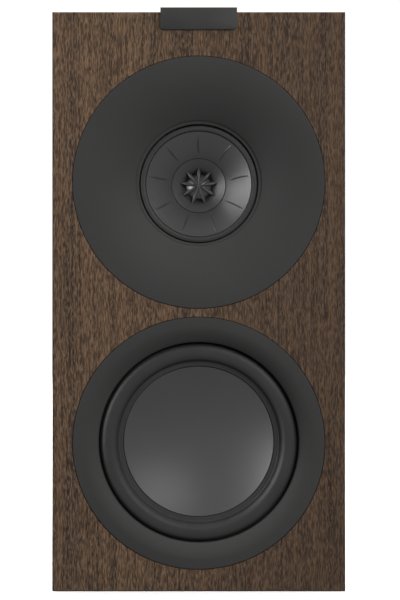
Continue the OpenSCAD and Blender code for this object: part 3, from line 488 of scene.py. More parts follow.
stretch_between(mid_surround)

# %% [markdown]
# ## The midrange cone and its ribs
# The cone is a thin metal dish, a little steeper towards its middle, with nine fine ribs pressed
# into it. The ribs could be separate bars, but pressed ones run softly into the sheet. So a
# Geometry Nodes tree lifts the cone's own surface instead: it measures each point's angle from
# the nearest rib, and raises the point by a smooth bump. The number, width, height and reach of
# the ribs are inputs of the tree.


# %% The tree that presses ribs into a turned face
def make_rib_tree():
    tree, nodes, given, result = new_group(
        "Pressed ribs",
        "GeometryNodeTree",
        [
            ("Geometry", GEOMETRY, None),
            ("Centre", VECTOR, None),
            ("Rib Count", INTEGER, 9),
            ("Rib Width", FLOAT, 0.001),
            ("Rib Height", FLOAT, 0.0005),
            ("Inner Radius", FLOAT, 0.025),
            ("Outer Radius", FLOAT, 0.036),
            ("Bow", FLOAT, 0.0),
            ("Finish", SURFACE, None),
        ],
        [("Geometry", GEOMETRY)],
    )
    place = nodes.add("GeometryNodeInputPosition").outputs[0]
    local = nodes.add("ShaderNodeVectorMath", {0: place, 1: given["Centre"]}, operation="SUBTRACT")
    parts = nodes.add("ShaderNodeSeparateXYZ", {0: local.outputs[0]}).outputs
    squared = nodes.math("ADD", nodes.math("POWER", parts[0], 2.0), nodes.math("POWER", parts[2], 2.0))
    radius = nodes.math("SQRT", squared)
    # Share of the way along a rib, 0 at its inner end and 1 at its outer end.
    along = nodes.math(
        "DIVIDE",
        nodes.math("SUBTRACT", radius, given["Inner Radius"]),
        nodes.math("SUBTRACT", given["Outer Radius"], given["Inner Radius"]),
        clamp=True,
    )
    swell = nodes.math("SINE", nodes.math("MULTIPLY", along, math.pi))
    # The angle from twelve o'clock, bent a little by the bow, then wrapped to the nearest rib.
    angle = nodes.math("ARCTAN2", parts[0], parts[2])
    angle = nodes.math("ADD", angle, nodes.math("MULTIPLY", swell, given["Bow"]))
    pitch = nodes.math("DIVIDE", 2 * math.pi, given["Rib Count"])
    half = nodes.math("DIVIDE", pitch, 2.0)
    minus_half = nodes.math("MULTIPLY", half, -1.0)
    wrapped = nodes.add("ShaderNodeMath", {0: angle, 1: minus_half, 2: half}, operation="WRAP")
    across = nodes.math("MULTIPLY", nodes.math("ABSOLUTE", wrapped.outputs[0]), radius)
    reach = nodes.math("MULTIPLY", given["Rib Width"], 0.6)
    near = nodes.add(
        "ShaderNodeMapRange",
        {"Value": across, "From Min": 0.0, "From Max": reach, "To Min": 1.0, "To Max": 0.0},
        interpolation_type="SMOOTHERSTEP",
    ).outputs[0]
    shape = nodes.math("MULTIPLY", near, nodes.math("POWER", swell, 0.6))
    lift = nodes.math("MULTIPLY", shape, given["Rib Height"])
    offset = nodes.add("ShaderNodeCombineXYZ", {1: nodes.math("MULTIPLY", lift, -1.0)}).outputs[0]
    moved = nodes.add("GeometryNodeSetPosition", {"Geometry": given["Geometry"], "Offset": offset})
    real = nodes.add("GeometryNodeRealizeInstances", {0: moved.outputs[0]})
    done = nodes.add("GeometryNodeSetMaterial", {"Geometry": real.outputs[0], "Material": given["Finish"]})
    tree.links.new(done.outputs[0], result["Geometry"])
    return tree


def apply_tree(host, tree, values):
    """Runs a Geometry Nodes tree on host with values by input name, and keeps the plain mesh."""
    modifier = host.modifiers.new(tree.name, "NODES")
    modifier.node_group = tree
    for item in tree.interface.items_tree:
        if item.in_out == "INPUT" and item.name in values:
            modifier[item.identifier] = values[item.name]
    seen = host.evaluated_get(bpy.context.evaluated_depsgraph_get())
    result = bpy.data.meshes.new_from_object(seen)
    host.modifiers.clear()
    host.data = result
    return host


# %% Midrange cone
CONE_DROP = 12.1
MID_INNER_R = 20.35
MID_NECK_R = 19.95
RIM_H = RING_H - 0.1


def mid_cone_height(r):
    t = (MID_CONE_R - r) / (MID_CONE_R - MID_INNER_R)
    return RIM_H - CONE_DROP * (0.79 * t + 0.21 * t * t)


mid_radii = steps_between(MID_NECK_R, MID_CONE_R - 0.35, 72)
mid_face = [(r, mid_cone_height(r)) for r in mid_radii]
mid_back = [(r, mid_cone_height(r) - 0.4) for r in reversed(mid_radii[::4])]
mid_outline = rounded(
    plain(mid_face)
    + [(MID_CONE_R - 0.25, RIM_H - 0.15, 0.06), (MID_CONE_R - 0.2, RIM_H - 2.6, 0)]
    + [(MID_CONE_R + 0.4, RIM_H - 2.6, 0), (MID_CONE_R + 0.45, RIM_H - 0.4, 0)]
    + [(MID_CONE_R + 1.8, RIM_H - 0.4, 0), (MID_CONE_R + 1.8, RIM_H - 0.7, 0)]
    + [(MID_CONE_R + 0.7, RIM_H - 0.7, 0), (MID_CONE_R + 0.65, RIM_H - 2.9, 0)]
    + [(MID_CONE_R - 0.5, RIM_H - 2.9, 0)]
    + plain(mid_back[1:])
)
mid_cone = lathe("midrange_cone", mid_outline, COAX, steps=900)
apply_tree(
    mid_cone,
    make_rib_tree(),
    {
        "Centre": COAX,
        "Rib Count": 9,
        "Rib Width": 1.1 * MM,
        "Rib Height": 0.75 * MM,
        "Inner Radius": 23.8 * MM,
        "Outer Radius": 36.8 * MM,
        "Bow": 0.015,
        "Finish": CONE,
    },
)
settle(mid_cone, CONE, "mid_cone_unit", "cone_metal", "mid_cone")

# %% [markdown]
# ## The tweeter's throat, fins and dome
# The tweeter sits where the midrange's dust cap would be. A short throat carries on the slope of
# the cone, and nine slim fins stand over the dome to even out its sound. All the fins are the
# same, so one is drawn, and a Geometry Nodes tree turns the copies round the axis. Each fin is
# narrow at the hub, widest over the dome's edge, and runs to a point on the throat's wall.


# %% The tree that turns copies round an axis
def make_turned_copies():
    tree, nodes, given, result = new_group(
        "Turned copies",
        "GeometryNodeTree",
        [
            ("Geometry", GEOMETRY, None),
            ("Source", OBJECT, None),
            ("Count", INTEGER, 9),
            ("Centre", VECTOR, None),
            ("Finish", SURFACE, None),
        ],
        [("Geometry", GEOMETRY)],
    )
    points = nodes.add("GeometryNodePoints", {"Count": given["Count"], "Position": given["Centre"]})
    source = nodes.add("GeometryNodeObjectInfo", {"Object": given["Source"]})
    index = nodes.add("GeometryNodeInputIndex").outputs[0]
    angle = nodes.math("DIVIDE", nodes.math("MULTIPLY", index, 2 * math.pi), given["Count"])
    turn = nodes.add("ShaderNodeCombineXYZ", {1: angle}).outputs[0]
    rotation = nodes.add("FunctionNodeEulerToRotation", {0: turn}).outputs[0]
    copies = nodes.add(
        "GeometryNodeInstanceOnPoints",
        {"Points": points.outputs[0], "Instance": source.outputs["Geometry"], "Rotation": rotation},
    )
    real = nodes.add("GeometryNodeRealizeInstances", {0: copies.outputs[0]})
    done = nodes.add("GeometryNodeSetMaterial", {"Geometry": real.outputs[0], "Material": given["Finish"]})
    tree.links.new(done.outputs[0], result["Geometry"])
    return tree


TURNED_COPIES = make_turned_copies()


def copies_round(name, source, count, centre, finish):
    """One mesh of count copies of source, which is drawn about the origin, round centre."""
    made = mesh_object(name, [], [])
    values = {"Source": source, "Count": count, "Centre": centre, "Finish": finish}
    apply_tree(made, TURNED_COPIES, values)
    bpy.data.objects.remove(source)
    return made


def join(name, pieces):
    """Several meshes as one piece."""
    work = bmesh.new()
    for piece in pieces:
        work.from_mesh(piece.data)
        bpy.data.objects.remove(piece)
    mesh = bpy.data.meshes.new(name)
    work.to_mesh(mesh)
    work.free()
    made = bpy.data.objects.new(name, mesh)
    bpy.context.scene.collection.objects.link(made)
    return made


# %% Throat, fins and hub
FIN_COUNT = 9
DOME_R = 9.5
DOME_RISE = 3.0
DOME_BALL_R = (DOME_R**2 + DOME_RISE**2) / (2 * DOME_RISE)
GUIDE_RIM_R = 19.75
GUIDE_RIM_H = mid_cone_height(MID_INNER_R) - 0.2
GUIDE_THROAT_R = 10.0
DOME_H = -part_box("tweeter_dome")[0].y / MM + FRONT / MM - DOME_RISE
FIN_TIP_R = DOME_R + 5.0
FIN_CLEAR = 1.1
FIN_BACK_ANGLES = (2.5, 2.0, 1.57, 1.14, 0.64)
CUP_R = 14.4
CUP_DEPTH = 3.5
HUB_R = 1.45
HUB_ROUNDING = 0.9
HUB_LENGTH = 2.2


def guide_height(r):
    share = max(0.0, (r - GUIDE_THROAT_R) / (GUIDE_RIM_R - GUIDE_THROAT_R))
    return DOME_H + (GUIDE_RIM_H - DOME_H) * share**0.72


def fin_half_width(r):
    """A kite: it grows from the hub to the dome's edge, then closes to a point."""
    if r < DOME_R:
        return 0.36 + 0.94 * (r - 0.5) / (DOME_R - 0.5)
    return max(0.05, 1.3 * (1 - ((r - DOME_R) / (FIN_TIP_R - DOME_R)) ** 1.3))


def fin_top(r):
    return DOME_H + DOME_RISE + 2.5 - 0.2 * (r / 5) - 0.012 * max(0, r - 5) ** 2


def fin_bottom(r):
    ball = DOME_H + DOME_RISE - DOME_BALL_R + math.sqrt((DOME_BALL_R + FIN_CLEAR) ** 2 - r**2)
    return max(ball, guide_height(r) - 0.6) if r > GUIDE_THROAT_R else ball


def make_fin():
    """One fin pointing up, drawn as slices from the hub outwards, with a rounded back."""
    points, faces = [], []
    for r in steps_between(0.6, FIN_TIP_R, 22):
        half, top, low = fin_half_width(r), fin_top(r), fin_bottom(r)
        crown = min(half, 0.5)
        slice_points = [(-half, low), (-half, top - crown)]
        slice_points += [(half * math.cos(a), top - crown + crown * math.sin(a)) for a in FIN_BACK_ANGLES]
        slice_points += [(half, top - crown), (half, low)]
        points += [Vector((x, -h, r)) * MM for x, h in slice_points]
    ring = len(slice_points)
    slices = len(points) // ring
    for k in range(slices - 1):
        for i in range(ring):
            j = (i + 1) % ring
            faces.append([k * ring + i, k * ring + j, (k + 1) * ring + j, (k + 1) * ring + i])
    faces += [list(range(ring)), list(range((slices - 1) * ring, slices * ring))]
    return mesh_object("fin", points, faces)


guide_outline = rounded(
    [(GUIDE_RIM_R, GUIDE_RIM_H, 0.4)]
    + plain([(r, guide_height(r)) for r in steps_between(GUIDE_RIM_R - 0.6, GUIDE_THROAT_R, 30)])
    + [
        (GUIDE_THROAT_R, DOME_H - 0.8, 0),
        (CUP_R, DOME_H - 0.8, 0),
        (CUP_R, DOME_H - CUP_DEPTH, 0),
        (GUIDE_RIM_R, DOME_H - CUP_DEPTH, 0),
    ]
)
HUB_H = DOME_H + DOME_RISE + 2.7
hub_outline = [Vector((r, HUB_H - HUB_LENGTH)) for r in (0, HUB_R - 0.1)]
hub_outline += [
    Vector((HUB_R * math.cos(a), HUB_H - HUB_ROUNDING + HUB_ROUNDING * math.sin(a)))
    for a in steps_between(0, math.pi / 2, 8)
]
hub_outline[-1].x = 0
fins = copies_round("fins", make_fin(), FIN_COUNT, COAX, THROAT)
throat = lathe("guide", guide_outline, COAX)
hub = lathe("hub", hub_outline, COAX, steps=48)
guide = join("tweeter_throat", [throat, hub, fins])
settle(guide, THROAT, "root", "waveguide_plastic", "tweeter_waveguide")

# %% Dome
dome_span = math.asin(DOME_R / DOME_BALL_R)
dome_angles = steps_between(0, dome_span, 28)
dome_centre_h = DOME_H + DOME_RISE - DOME_BALL_R
dome_outline = [
    Vector((DOME_BALL_R * math.sin(a), dome_centre_h + DOME_BALL_R * math.cos(a))) for a in dome_angles
] + [
    Vector(((DOME_BALL_R - 0.3) * math.sin(a), dome_centre_h + (DOME_BALL_R - 0.3) * math.cos(a)))
    for a in reversed(dome_angles)
]
settle(lathe("dome", dome_outline, COAX), DOME, "tweeter_dome_unit", "dome_metal", "tweeter_dome")

# %% [markdown]
# ## The bass driver
# A plain trim ring covers the driver's rim. It is flat at first and then rolls over inward. Below
# it lies the half-roll surround of rubber, which carries the cone, a shallow metal dish with no
# dust cap. Its section is a little fuller than the half circle of the CAD model, with the same
# width and height, so that the groove beside it looks less steep.

# %% Trim ring
TRIM_LIP_R = 72.3
TRIM_FLAT_R = 84.0
TRIM_DROP = 4.2
TRIM_WALL = 1.5
TRIM_ANGLE = 2 * math.atan(TRIM_DROP / (TRIM_FLAT_R - TRIM_LIP_R))
TRIM_ARC = (TRIM_FLAT_R - TRIM_LIP_R) / math.sin(TRIM_ANGLE)
RUBBER_FOOT_H = (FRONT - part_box("woofer_trim_ring")[1].y) / MM

trim_turn = math.degrees(TRIM_ANGLE)
trim_face = arc((TRIM_FLAT_R, -TRIM_ARC), TRIM_ARC, 90, 90 + trim_turn - 1.5, 24)
trim_under = arc((TRIM_FLAT_R, -TRIM_ARC), TRIM_ARC - 2.4, 90 + trim_turn - 9, 90, 12)
trim_outline = rounded(
    plain(trim_face)
    + [
        (TRIM_LIP_R, -TRIM_DROP - 0.25, 0.4),
        (TRIM_LIP_R, RUBBER_FOOT_H, 0),
        (TRIM_LIP_R + TRIM_WALL, RUBBER_FOOT_H, 0),
        (TRIM_LIP_R + TRIM_WALL, -TRIM_DROP - 2.6, 0),
    ]
    + plain(trim_under)
    + [(DISC_R, -2.5, 0), (DISC_R, 0, 0.5)]
)
settle(lathe("woofer_trim", trim_outline, WOOFER), TRIM, "root", "driver_trim", "woofer_trim_ring")

# %% Half-roll surround
ROLL_OUTER_R = 71.8
ROLL_INNER_R = 58.4
ROLL_BASE_H = (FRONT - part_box("woofer_surround")[1].y) / MM
ROLL_R = (ROLL_OUTER_R - ROLL_INNER_R) / 2
ROLL_MID_R = (ROLL_OUTER_R + ROLL_INNER_R) / 2
LIP_IN_R = 54.9
LIP_OUT_R = 76.8
GLUE_R = 54.4
GLUE_H = ROLL_BASE_H - 0.9
ROLL_FULLNESS = 2.7


def full_arc(radius, first, last, steps):
    """Points of the roll's section: a superellipse, which a fullness of 2 would make a circle."""
    points = []
    power = 2 / ROLL_FULLNESS
    for x, h in arc((0, 0), 1, first, last, steps):
        side = math.copysign(abs(x) ** power, x)
        points.append((ROLL_MID_R + radius * side, ROLL_BASE_H + radius * abs(h) ** power))
    return points


roll_top = full_arc(ROLL_R, 5, 164, 60)
roll_under = full_arc(ROLL_R - RUBBER_T, 180, 0, 40)
roll_outline = rounded(
    [(LIP_OUT_R, ROLL_BASE_H + RUBBER_T, 0), (ROLL_OUTER_R + 0.1, ROLL_BASE_H + RUBBER_T, 0.6)]
    + plain(roll_top)
    + [(ROLL_INNER_R - 0.1, ROLL_BASE_H + RUBBER_T, 2.2), (LIP_IN_R, ROLL_BASE_H + RUBBER_T, 0.25)]
    + [(LIP_IN_R, GLUE_H, 0), (GLUE_R, GLUE_H, 0), (GLUE_R, GLUE_H - 0.2, 0)]
    + [(LIP_IN_R + 0.4, GLUE_H - 0.2, 0), (LIP_IN_R + 0.5, ROLL_BASE_H, 0)]
    + plain(roll_under)
    + [(LIP_OUT_R, ROLL_BASE_H, 0)]
)
roll = lathe("woofer_roll", roll_outline, WOOFER)
settle(roll, RUBBER, None, "surround_rubber", "woofer_surround")
stretch_between(roll)

# %% Bass cone
CONE_R = 54.3
DISH_DEPTH = 9.6
DISH_BALL_R = (CONE_R**2 + DISH_DEPTH**2) / (2 * DISH_DEPTH)
DISH_RIM_H = ROLL_BASE_H - 0.1
SKIN_T = 0.5


def dish_height(r):
    return DISH_RIM_H - DISH_DEPTH + DISH_BALL_R - math.sqrt(DISH_BALL_R**2 - r**2)


dish_radii = steps_between(0, CONE_R - 0.4, 60)
dish_outline = rounded(
    plain([(r, dish_height(r)) for r in dish_radii])
    + [(CONE_R, DISH_RIM_H, 0.3), (CONE_R + 0.05, GLUE_H - 0.3, 0), (CONE_R + 1, GLUE_H - 0.3, 0)]
    + [(CONE_R + 3.2, DISH_RIM_H, 0), (CONE_R + 3.2, DISH_RIM_H - SKIN_T, 0), (CONE_R + 1, GLUE_H - 0.8, 0)]
    + plain([(r, dish_height(r) - SKIN_T) for r in reversed(dish_radii)])
)
settle(lathe("woofer_dish", dish_outline, WOOFER), CONE, "woofer_cone_unit", "cone_metal", "woofer_cone")

# %% [markdown]
# ## The badge
# A folded metal plate hooks over the top edge of the baffle. Its two lower corners are rounded,
# and every edge has a fine bevel. It is left blank.


# %% Badge
def bevelled_badge():
    low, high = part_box("badge")
    metal, corner, edge = 1.2 * MM, 2.5 * MM, 0.25 * MM
    bend_y, fold_z = low.y + metal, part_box("top_panel")[1].z
    outside = [(low.y, low.z), (low.y, high.z), (high.y, high.z)]
    profile = outside + [(high.y, fold_z), (bend_y, fold_z), (bend_y, low.z)]
    points = [(x, y, z) for x in (low.x, high.x) for y, z in profile]
    count = len(profile)
    faces = [[i, (i + 1) % count, count + (i + 1) % count, count + i] for i in range(count)]
    faces += [list(range(count)), list(range(count, 2 * count))]
    made = mesh_object("badge_plate", points, faces)
    work = bmesh.new()
    work.from_mesh(made.data)
    at_foot = [e for e in work.edges if all(v.co.z < low.z + edge for v in e.verts)]
    lower = [e for e in at_foot if e.verts[0].co.x == e.verts[1].co.x]
    bmesh.ops.bevel(work, geom=lower, offset=corner, segments=8, profile=0.5, affect="EDGES")
    sharp = [e for e in work.edges if e.calc_face_angle(0) > math.radians(40)]
    bmesh.ops.bevel(work, geom=sharp, offset=edge, segments=2, profile=0.5, affect="EDGES")
    soften(work)
    work.to_mesh(made.data)
    work.free()
    return made


settle(bevelled_badge(), BADGE, "root", "badge_metal", "badge")

# %% [markdown]
# ## The back
# A flared port lets the bass box breathe, and a plate below it carries two binding posts. Each
# post has a screw-down knob, red for plus and black for minus, with grip flutes that a Geometry
# Nodes tree presses into a turned body.

# %% Port
PORT_BORE_R = 25.0
PORT_FLARE = 10.0
PORT_LENGTH = 130.0
PORT_END_FLARE = 6.0
PORT_WALL = 3.0
PORT_HOLE_R = 37.0
PORT_FLANGE_R = 42.0

port_r = PORT_BORE_R
port_outline = rounded(
    plain(arc((port_r + PORT_FLARE, -PORT_FLARE), PORT_FLARE, 90, 180, 16))
    + plain(arc((port_r + PORT_END_FLARE, PORT_END_FLARE - PORT_LENGTH), PORT_END_FLARE, 180, 270, 10))
    + [
        (port_r + PORT_END_FLARE + PORT_WALL, -PORT_LENGTH, 0),
        (port_r + PORT_END_FLARE + PORT_WALL, 1 - PORT_LENGTH, 0),
        (port_r + PORT_WALL, PORT_END_FLARE + PORT_WALL - PORT_LENGTH, 0),
        (port_r + PORT_WALL, -PORT_FLARE - PORT_WALL, 0),
        (PORT_HOLE_R, -PORT_WALL - 1, 0),
        (PORT_HOLE_R, -PORT_WALL, 0),
        (PORT_FLANGE_R, -PORT_WALL, 0),
        (PORT_FLANGE_R, 0, 0.6),
    ]
)
settle(lathe("port", port_outline, PORT, facing=1, steps=160), BLACK, "root", "black_plastic", "port_tube")


# %% Terminal plate screws
def make_corner_copies():
    tree, nodes, given, result = new_group(
        "Corner copies",
        "GeometryNodeTree",
        [
            ("Geometry", GEOMETRY, None),
            ("Source", OBJECT, None),
            ("Centre", VECTOR, None),
            ("Spacing X", FLOAT, 0.1),
            ("Spacing Z", FLOAT, 0.1),
            ("Finish", SURFACE, None),
        ],
        [("Geometry", GEOMETRY)],
    )
    grid = nodes.add(
        "GeometryNodeMeshGrid",
        {"Size X": given["Spacing X"], "Size Y": given["Spacing Z"], "Vertices X": 2, "Vertices Y": 2},
    )
    upright = nodes.add(
        "GeometryNodeTransform",
        {"Geometry": grid.outputs[0], "Translation": given["Centre"], "Rotation": (math.pi / 2, 0, 0)},
    )
    source = nodes.add("GeometryNodeObjectInfo", {"Object": given["Source"]})
    shape = source.outputs["Geometry"]
    copies = nodes.add("GeometryNodeInstanceOnPoints", {"Points": upright.outputs[0], "Instance": shape})
    real = nodes.add("GeometryNodeRealizeInstances", {0: copies.outputs[0]})
    done = nodes.add("GeometryNodeSetMaterial", {"Geometry": real.outputs[0], "Material": given["Finish"]})
    tree.links.new(done.outputs[0], result["Geometry"])
    return tree


def cross_screw(head_r, depth):
    """A flush screw head about the origin, facing +Y, with a cross recess."""
    shank = [(0, 0, 0), (0, -depth, 0), (head_r * 0.6, -depth, 0)]
    outline = rounded(shank + [(head_r, -0.5, 0.2), (head_r - 0.1, 0, 0.3)])
    head = lathe("screw", outline, Vector((0, 0, 0)), facing=1, steps=64)
    for width, length in ((0.7, 1.9), (1.9, 0.7)):
        low, high = Vector((-width, -1.4, -length)) * MM, Vector((width, 1, length)) * MM
        cutter = mesh_object("cutter", *box_mesh(low, high))
        cut = head.modifiers.new("recess", "BOOLEAN")
        cut.object = cutter
        cut.solver = "EXACT"
        seen = head.evaluated_get(bpy.context.evaluated_depsgraph_get())
        head.data = bpy.data.meshes.new_from_object(seen)
        head.modifiers.clear()
        bpy.data.objects.remove(cutter)
    return head


def box_mesh(low, high):
    """Points and faces of a box."""
    points = [(x, y, z) for x in (low.x, high.x) for y in (low.y, high.y) for z in (low.z, high.z)]
    faces = [[0, 1, 3, 2], [4, 6, 7, 5], [0, 4, 5, 1], [2, 3, 7, 6], [0, 2, 6, 4], [1, 5, 7, 3]]
    return points, faces


screw_low, screw_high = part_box("terminal_screws")
SCREW_HEAD_R = 3.2
screw_spacing = screw_high - screw_low - 2 * SCREW_HEAD_R * MM * Vector((1, 1, 1))
screws = mesh_object("terminal_plate_screws", [], [])
screw = cross_screw(SCREW_HEAD_R, 2.0)
apply_tree(
    screws,
    make_corner_copies(),
    {
        "Source": screw,
        "Centre": TERMINAL,
        "Spacing X": screw_spacing.x,
        "Spacing Z": screw_spacing.z,
        "Finish": STEEL_SCREWS,
    },
)
bpy.data.objects.remove(screw)
settle(screws, STEEL_SCREWS, "root", "black_steel", "terminal_screws")


# %% Knobs
def make_flute_tree():
    tree, nodes, given, result = new_group(
        "Grip flutes",
        "GeometryNodeTree",
        [
            ("Geometry", GEOMETRY, None),
            ("Centre", VECTOR, None),
            ("Flute Count", INTEGER, 14),
            ("Flute Depth", FLOAT, 0.0005),
            ("Outer Radius", FLOAT, 0.007),
            ("Start", FLOAT, 0.0),
            ("Finish", SURFACE, None),
        ],
        [("Geometry", GEOMETRY)],
    )
    place = nodes.add("GeometryNodeInputPosition").outputs[0]
    local = nodes.add("ShaderNodeVectorMath", {0: place, 1: given["Centre"]}, operation="SUBTRACT")
    parts = nodes.add("ShaderNodeSeparateXYZ", {0: local.outputs[0]}).outputs
    flat = nodes.add("ShaderNodeCombineXYZ", {0: parts[0], 2: parts[2]}).outputs[0]
    radius = nodes.add("ShaderNodeVectorMath", {0: flat}, operation="LENGTH").outputs["Value"]
    inward = nodes.add("ShaderNodeVectorMath", {0: flat}, operation="NORMALIZE").outputs[0]
    angle = nodes.math("MULTIPLY", nodes.math("ARCTAN2", parts[0], parts[2]), given["Flute Count"])
    wave = nodes.math("MULTIPLY", nodes.math("SUBTRACT", 1.0, nodes.math("COSINE", angle)), 0.5)
    outer = nodes.span(radius, nodes.math("MULTIPLY", given["Outer Radius"], 0.86), given["Outer Radius"])
    reach = nodes.span(parts[1], given["Start"], nodes.math("ADD", given["Start"], 0.0008))
    share = nodes.math("MULTIPLY", wave, outer)
    depth = nodes.math("MULTIPLY", share, nodes.math("MULTIPLY", reach, given["Flute Depth"]))
    offset = nodes.add(
        "ShaderNodeVectorMath", {0: inward, "Scale": nodes.math("MULTIPLY", depth, -1.0)}, operation="SCALE"
    ).outputs[0]
    moved = nodes.add("GeometryNodeSetPosition", {"Geometry": given["Geometry"], "Offset": offset})
    real = nodes.add("GeometryNodeRealizeInstances", {0: moved.outputs[0]})
    done = nodes.add("GeometryNodeSetMaterial", {"Geometry": real.outputs[0], "Material": given["Finish"]})
    tree.links.new(done.outputs[0], result["Geometry"])
    return tree


GRIP_FLUTES = make_flute_tree()


def knob(node, finish, body, slot):
    low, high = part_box(node)
    centre = (low + high) / 2
    centre.y = BACK
    near, far = (low.y - BACK) / MM, (high.y - BACK) / MM
    radius = (high.x - low.x) / 2 / MM
    sleeve_r, hole_r, end_t = 4.56, 3.25, 1.8
    sides = [(radius, h, 0) for h in steps_between(near + 1.2, far - 1, 10)]
    outline = rounded(
        [(sleeve_r, near, 0), (radius, near, 0.3)]
        + sides
        + [(radius, far - 0.02, 0.7), (hole_r, far, 0.3)]
        + [(hole_r, far - end_t, 0), (sleeve_r, far - end_t, 0)]
    )
    made = lathe(node + "_cap", outline, centre, facing=1, steps=224)
    values = {
        "Centre": centre,
        "Flute Count": 14,
        "Flute Depth": 0.5 * MM,
        "Outer Radius": radius * MM,
        "Start": (near + 0.9) * MM,
        "Finish": finish,
    }
    apply_tree(made, GRIP_FLUTES, values)
    return settle(made, finish, body, slot, node)


knob("positive_knob", RED, "positive_cap", "red_plastic")
knob("negative_knob", BLACK, "negative_cap", "black_plastic")

# %% [markdown]
# ## Everything else keeps its CAD shape
# The cabinet's panels, the terminal plate and posts, and all of the inside are right as they are
# and only need a finish. The record names a material slot for each node, so one finish per slot
# covers them all. The top and bottom panels have their grain across the box, and the others have
# it upright.

# %% Finishes of the CAD nodes
FINISHES = {
    "walnut": UPRIGHT,
    "black_vinyl": VINYL,
    "driver_trim": TRIM,
    "waveguide_plastic": THROAT,
    "surround_rubber": RUBBER,
    "cone_metal": CONE,
    "dome_metal": DOME,
    "black_plastic": BLACK,
    "badge_metal": BADGE,
    "brass": BRASS,
    "red_plastic": RED,
    "black_steel": STEEL_SCREWS,
    "plywood": surface(
        "plywood", (0.36, 0.24, 0.13, 1), (0.45, 0.31, 0.18, 1), (0.6, 0.75), cloud=30, grain=600
    ),
    "wadding": surface("wadding", grey(0.60), grey(0.75), (0.9, 0.98), cloud=60, grain=700, bump=0.3),
    "magnet_plating": surface("magnet_plating", grey(0.50), grey(0.56), (0.15, 0.25), cloud=80, metal=1.0),
    "gasket_foam": surface(
        "gasket_foam", grey(0.03), grey(0.05), (0.85, 0.95), cloud=70, grain=1500, bump=0.1
    ),
    "circuit_board": surface(
        "circuit_board", (0.01, 0.08, 0.03, 1), (0.015, 0.11, 0.04, 1), (0.3, 0.4), cloud=50
    ),
    "copper": surface(
        "copper", (0.62, 0.27, 0.14, 1), (0.72, 0.34, 0.18, 1), (0.25, 0.35), cloud=150, metal=1.0
    ),
    "capacitor_film": surface(
        "capacitor_film", (0.50, 0.33, 0.06, 1), (0.58, 0.39, 0.08, 1), (0.25, 0.35), cloud=60
    ),
    "resistor_ceramic": surface(
        "resistor_ceramic", grey(0.55, 0.02), grey(0.65, 0.02), (0.6, 0.7), cloud=90
    ),
    "white_plastic": surface("white_plastic", grey(0.60), grey(0.68), (0.4, 0.5), cloud=60),
    "lead_insulation": surface("lead_insulation", grey(0.03), grey(0.04), (0.35, 0.45), cloud=120),
    "basket_metal": surface("basket_metal", grey(0.05), grey(0.07), (0.4, 0.5), cloud=30, metal=0.5),
    "cone_paper": surface("cone_paper", grey(0.04), grey(0.06), (0.8, 0.9), cloud=60, grain=900, bump=0.1),
    "spider_cloth": surface(
        "spider_cloth", (0.45, 0.30, 0.10, 1), (0.55, 0.38, 0.14, 1), (0.8, 0.9), cloud=50
    ),
    "motor_steel": surface("motor_steel", grey(0.40), grey(0.46), (0.28, 0.38), cloud=60, metal=1.0),
    "ferrite": surface("ferrite", grey(0.04), grey(0.06), (0.5, 0.65), cloud=45, grain=1500, bump=0.06),
}
GRAIN_ACROSS = ("top_panel", "bottom_panel")
# The midrange's coil former shows through the ring gap at the throat. It is made near black: painted shade
# that keeps the deep gap dark.
GAP_SHADE_FORMER = surface("coil_former_gap_shade", grey(0.010), grey(0.014), (0.5, 0.6), cloud=60)

for part in frame["record"]["subparts"]:
    holder = frame["nodes"][part["node"]]
    finish = ACROSS if part["node"] in GRAIN_ACROSS else FINISHES[part["material_slot"]]
    finish = GAP_SHADE_FORMER if part["node"] == "mid_voice_coil" else finish
    for material_slot in holder.material_slots:
        material_slot.material = finish
print(len(frame["nodes"]), "nodes finished from", len(FINISHES), "slots")

# %% [markdown]
# ## Floor, light and camera
# The speaker stands on a plain pale floor in a pale room. One large soft box at the front right
# gives the even light. It is left out of the mirrored light, and three others are in it only: two
# at the left and a weak one at the right, which draw the bright arcs on the turned parts. A wide
# one overhead lights the floor, and one behind keeps the back readable. The camera looks straight
# on from about a metre away.


# %% Floor
def make_floor():
    side, front_end, back_end = 4.0, -1.6, 2.4
    corners = [(-side, front_end, 0), (side, front_end, 0), (side, back_end, 0), (-side, back_end, 0)]
    floor = mesh_object("floor", corners, [[0, 1, 2, 3]])
    floor.location.z = -0.0002
    dark, light = grey(0.84, 0.004), grey(0.88, 0.004)
    paint = surface("floor_paint", dark, light, (0.7, 0.8), cloud=1.5, grain=300, bump=0.0)
    floor.data.materials.append(paint)
    # The bright floor isn't mirrored in the dark parts, as if black cards stood in front.
    floor.visible_diffuse = False
    floor.visible_glossy = False


make_floor()


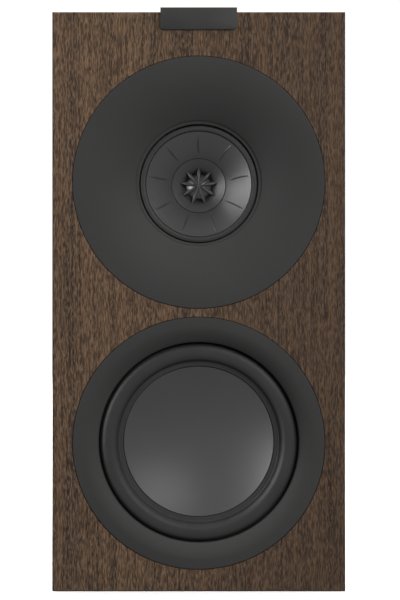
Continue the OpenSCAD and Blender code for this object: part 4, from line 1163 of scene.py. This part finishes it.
# %% Light
def softbox(name, size, watts, place, target=(0, -0.1, 0.22), seen_in="all"):
    """An area light that faces target. seen_in limits it to the diffuse or the glossy part."""
    light = bpy.data.lights.new(name, "AREA")
    light.shape = "RECTANGLE"
    light.size, light.size_y = size
    light.energy = watts
    holder = bpy.data.objects.new(name, light)
    bpy.context.scene.collection.objects.link(holder)
    holder.location = place
    holder.rotation_euler = (Vector(target) - Vector(place)).to_track_quat("-Z", "Y").to_euler()
    holder.visible_diffuse = seen_in != "glossy"
    holder.visible_glossy = seen_in != "diffuse"


def round_the_speaker(azimuth, height, distance):
    """A place round the speaker. Azimuth 0 is straight in front, and plus is to the right."""
    a = math.radians(azimuth)
    return (distance * math.sin(a), -distance * math.cos(a), height)


softbox("key_right", (1.2, 1.2), 34, round_the_speaker(40, 1.1, 1.9), seen_in="diffuse")
softbox("gloss_left", (0.7, 0.9), 5, round_the_speaker(-42, 0.45, 2.0), seen_in="glossy")
softbox("strip_left", (1.0, 1.4), 6.2, round_the_speaker(-70, 0.90, 1.7), seen_in="glossy")
softbox("gloss_right", (0.9, 0.8), 2.2, round_the_speaker(18, 0.8, 2.2), seen_in="glossy")
softbox("fill_back", (1.2, 1.2), 22, round_the_speaker(200, 1.0, 1.9))
softbox("floor_light", (4.0, 4.0), 260, (0, 0.9, 2.6), target=(0, 0.9, 0), seen_in="diffuse")

world = bpy.data.worlds.new("pale_room")
bpy.context.scene.world = world
world.use_nodes = True
room = Nodes(world.node_tree)
is_seen = room.add("ShaderNodeLightPath").outputs["Is Camera Ray"]
backdrop = world.node_tree.nodes["Background"]
room.fill(backdrop, {"Color": (1, 1, 1, 1), "Strength": room.span(is_seen, 0, 1, 0.22, 1.1)})

# %% Camera
EYE_DISTANCE = 0.9
eye = bpy.data.cameras.new("eye")
eye.lens = 75.4
eye.sensor_width = 36
eye.clip_start, eye.clip_end = 0.05, 60
camera = bpy.data.objects.new("eye", eye)
bpy.context.scene.collection.objects.link(camera)
camera.location = (0.0009, FRONT - EYE_DISTANCE, 0.2086)
camera.rotation_euler = (math.radians(90), 0, 0)
bpy.context.scene.camera = camera
bpy.context.scene.view_settings.view_transform = "Standard"
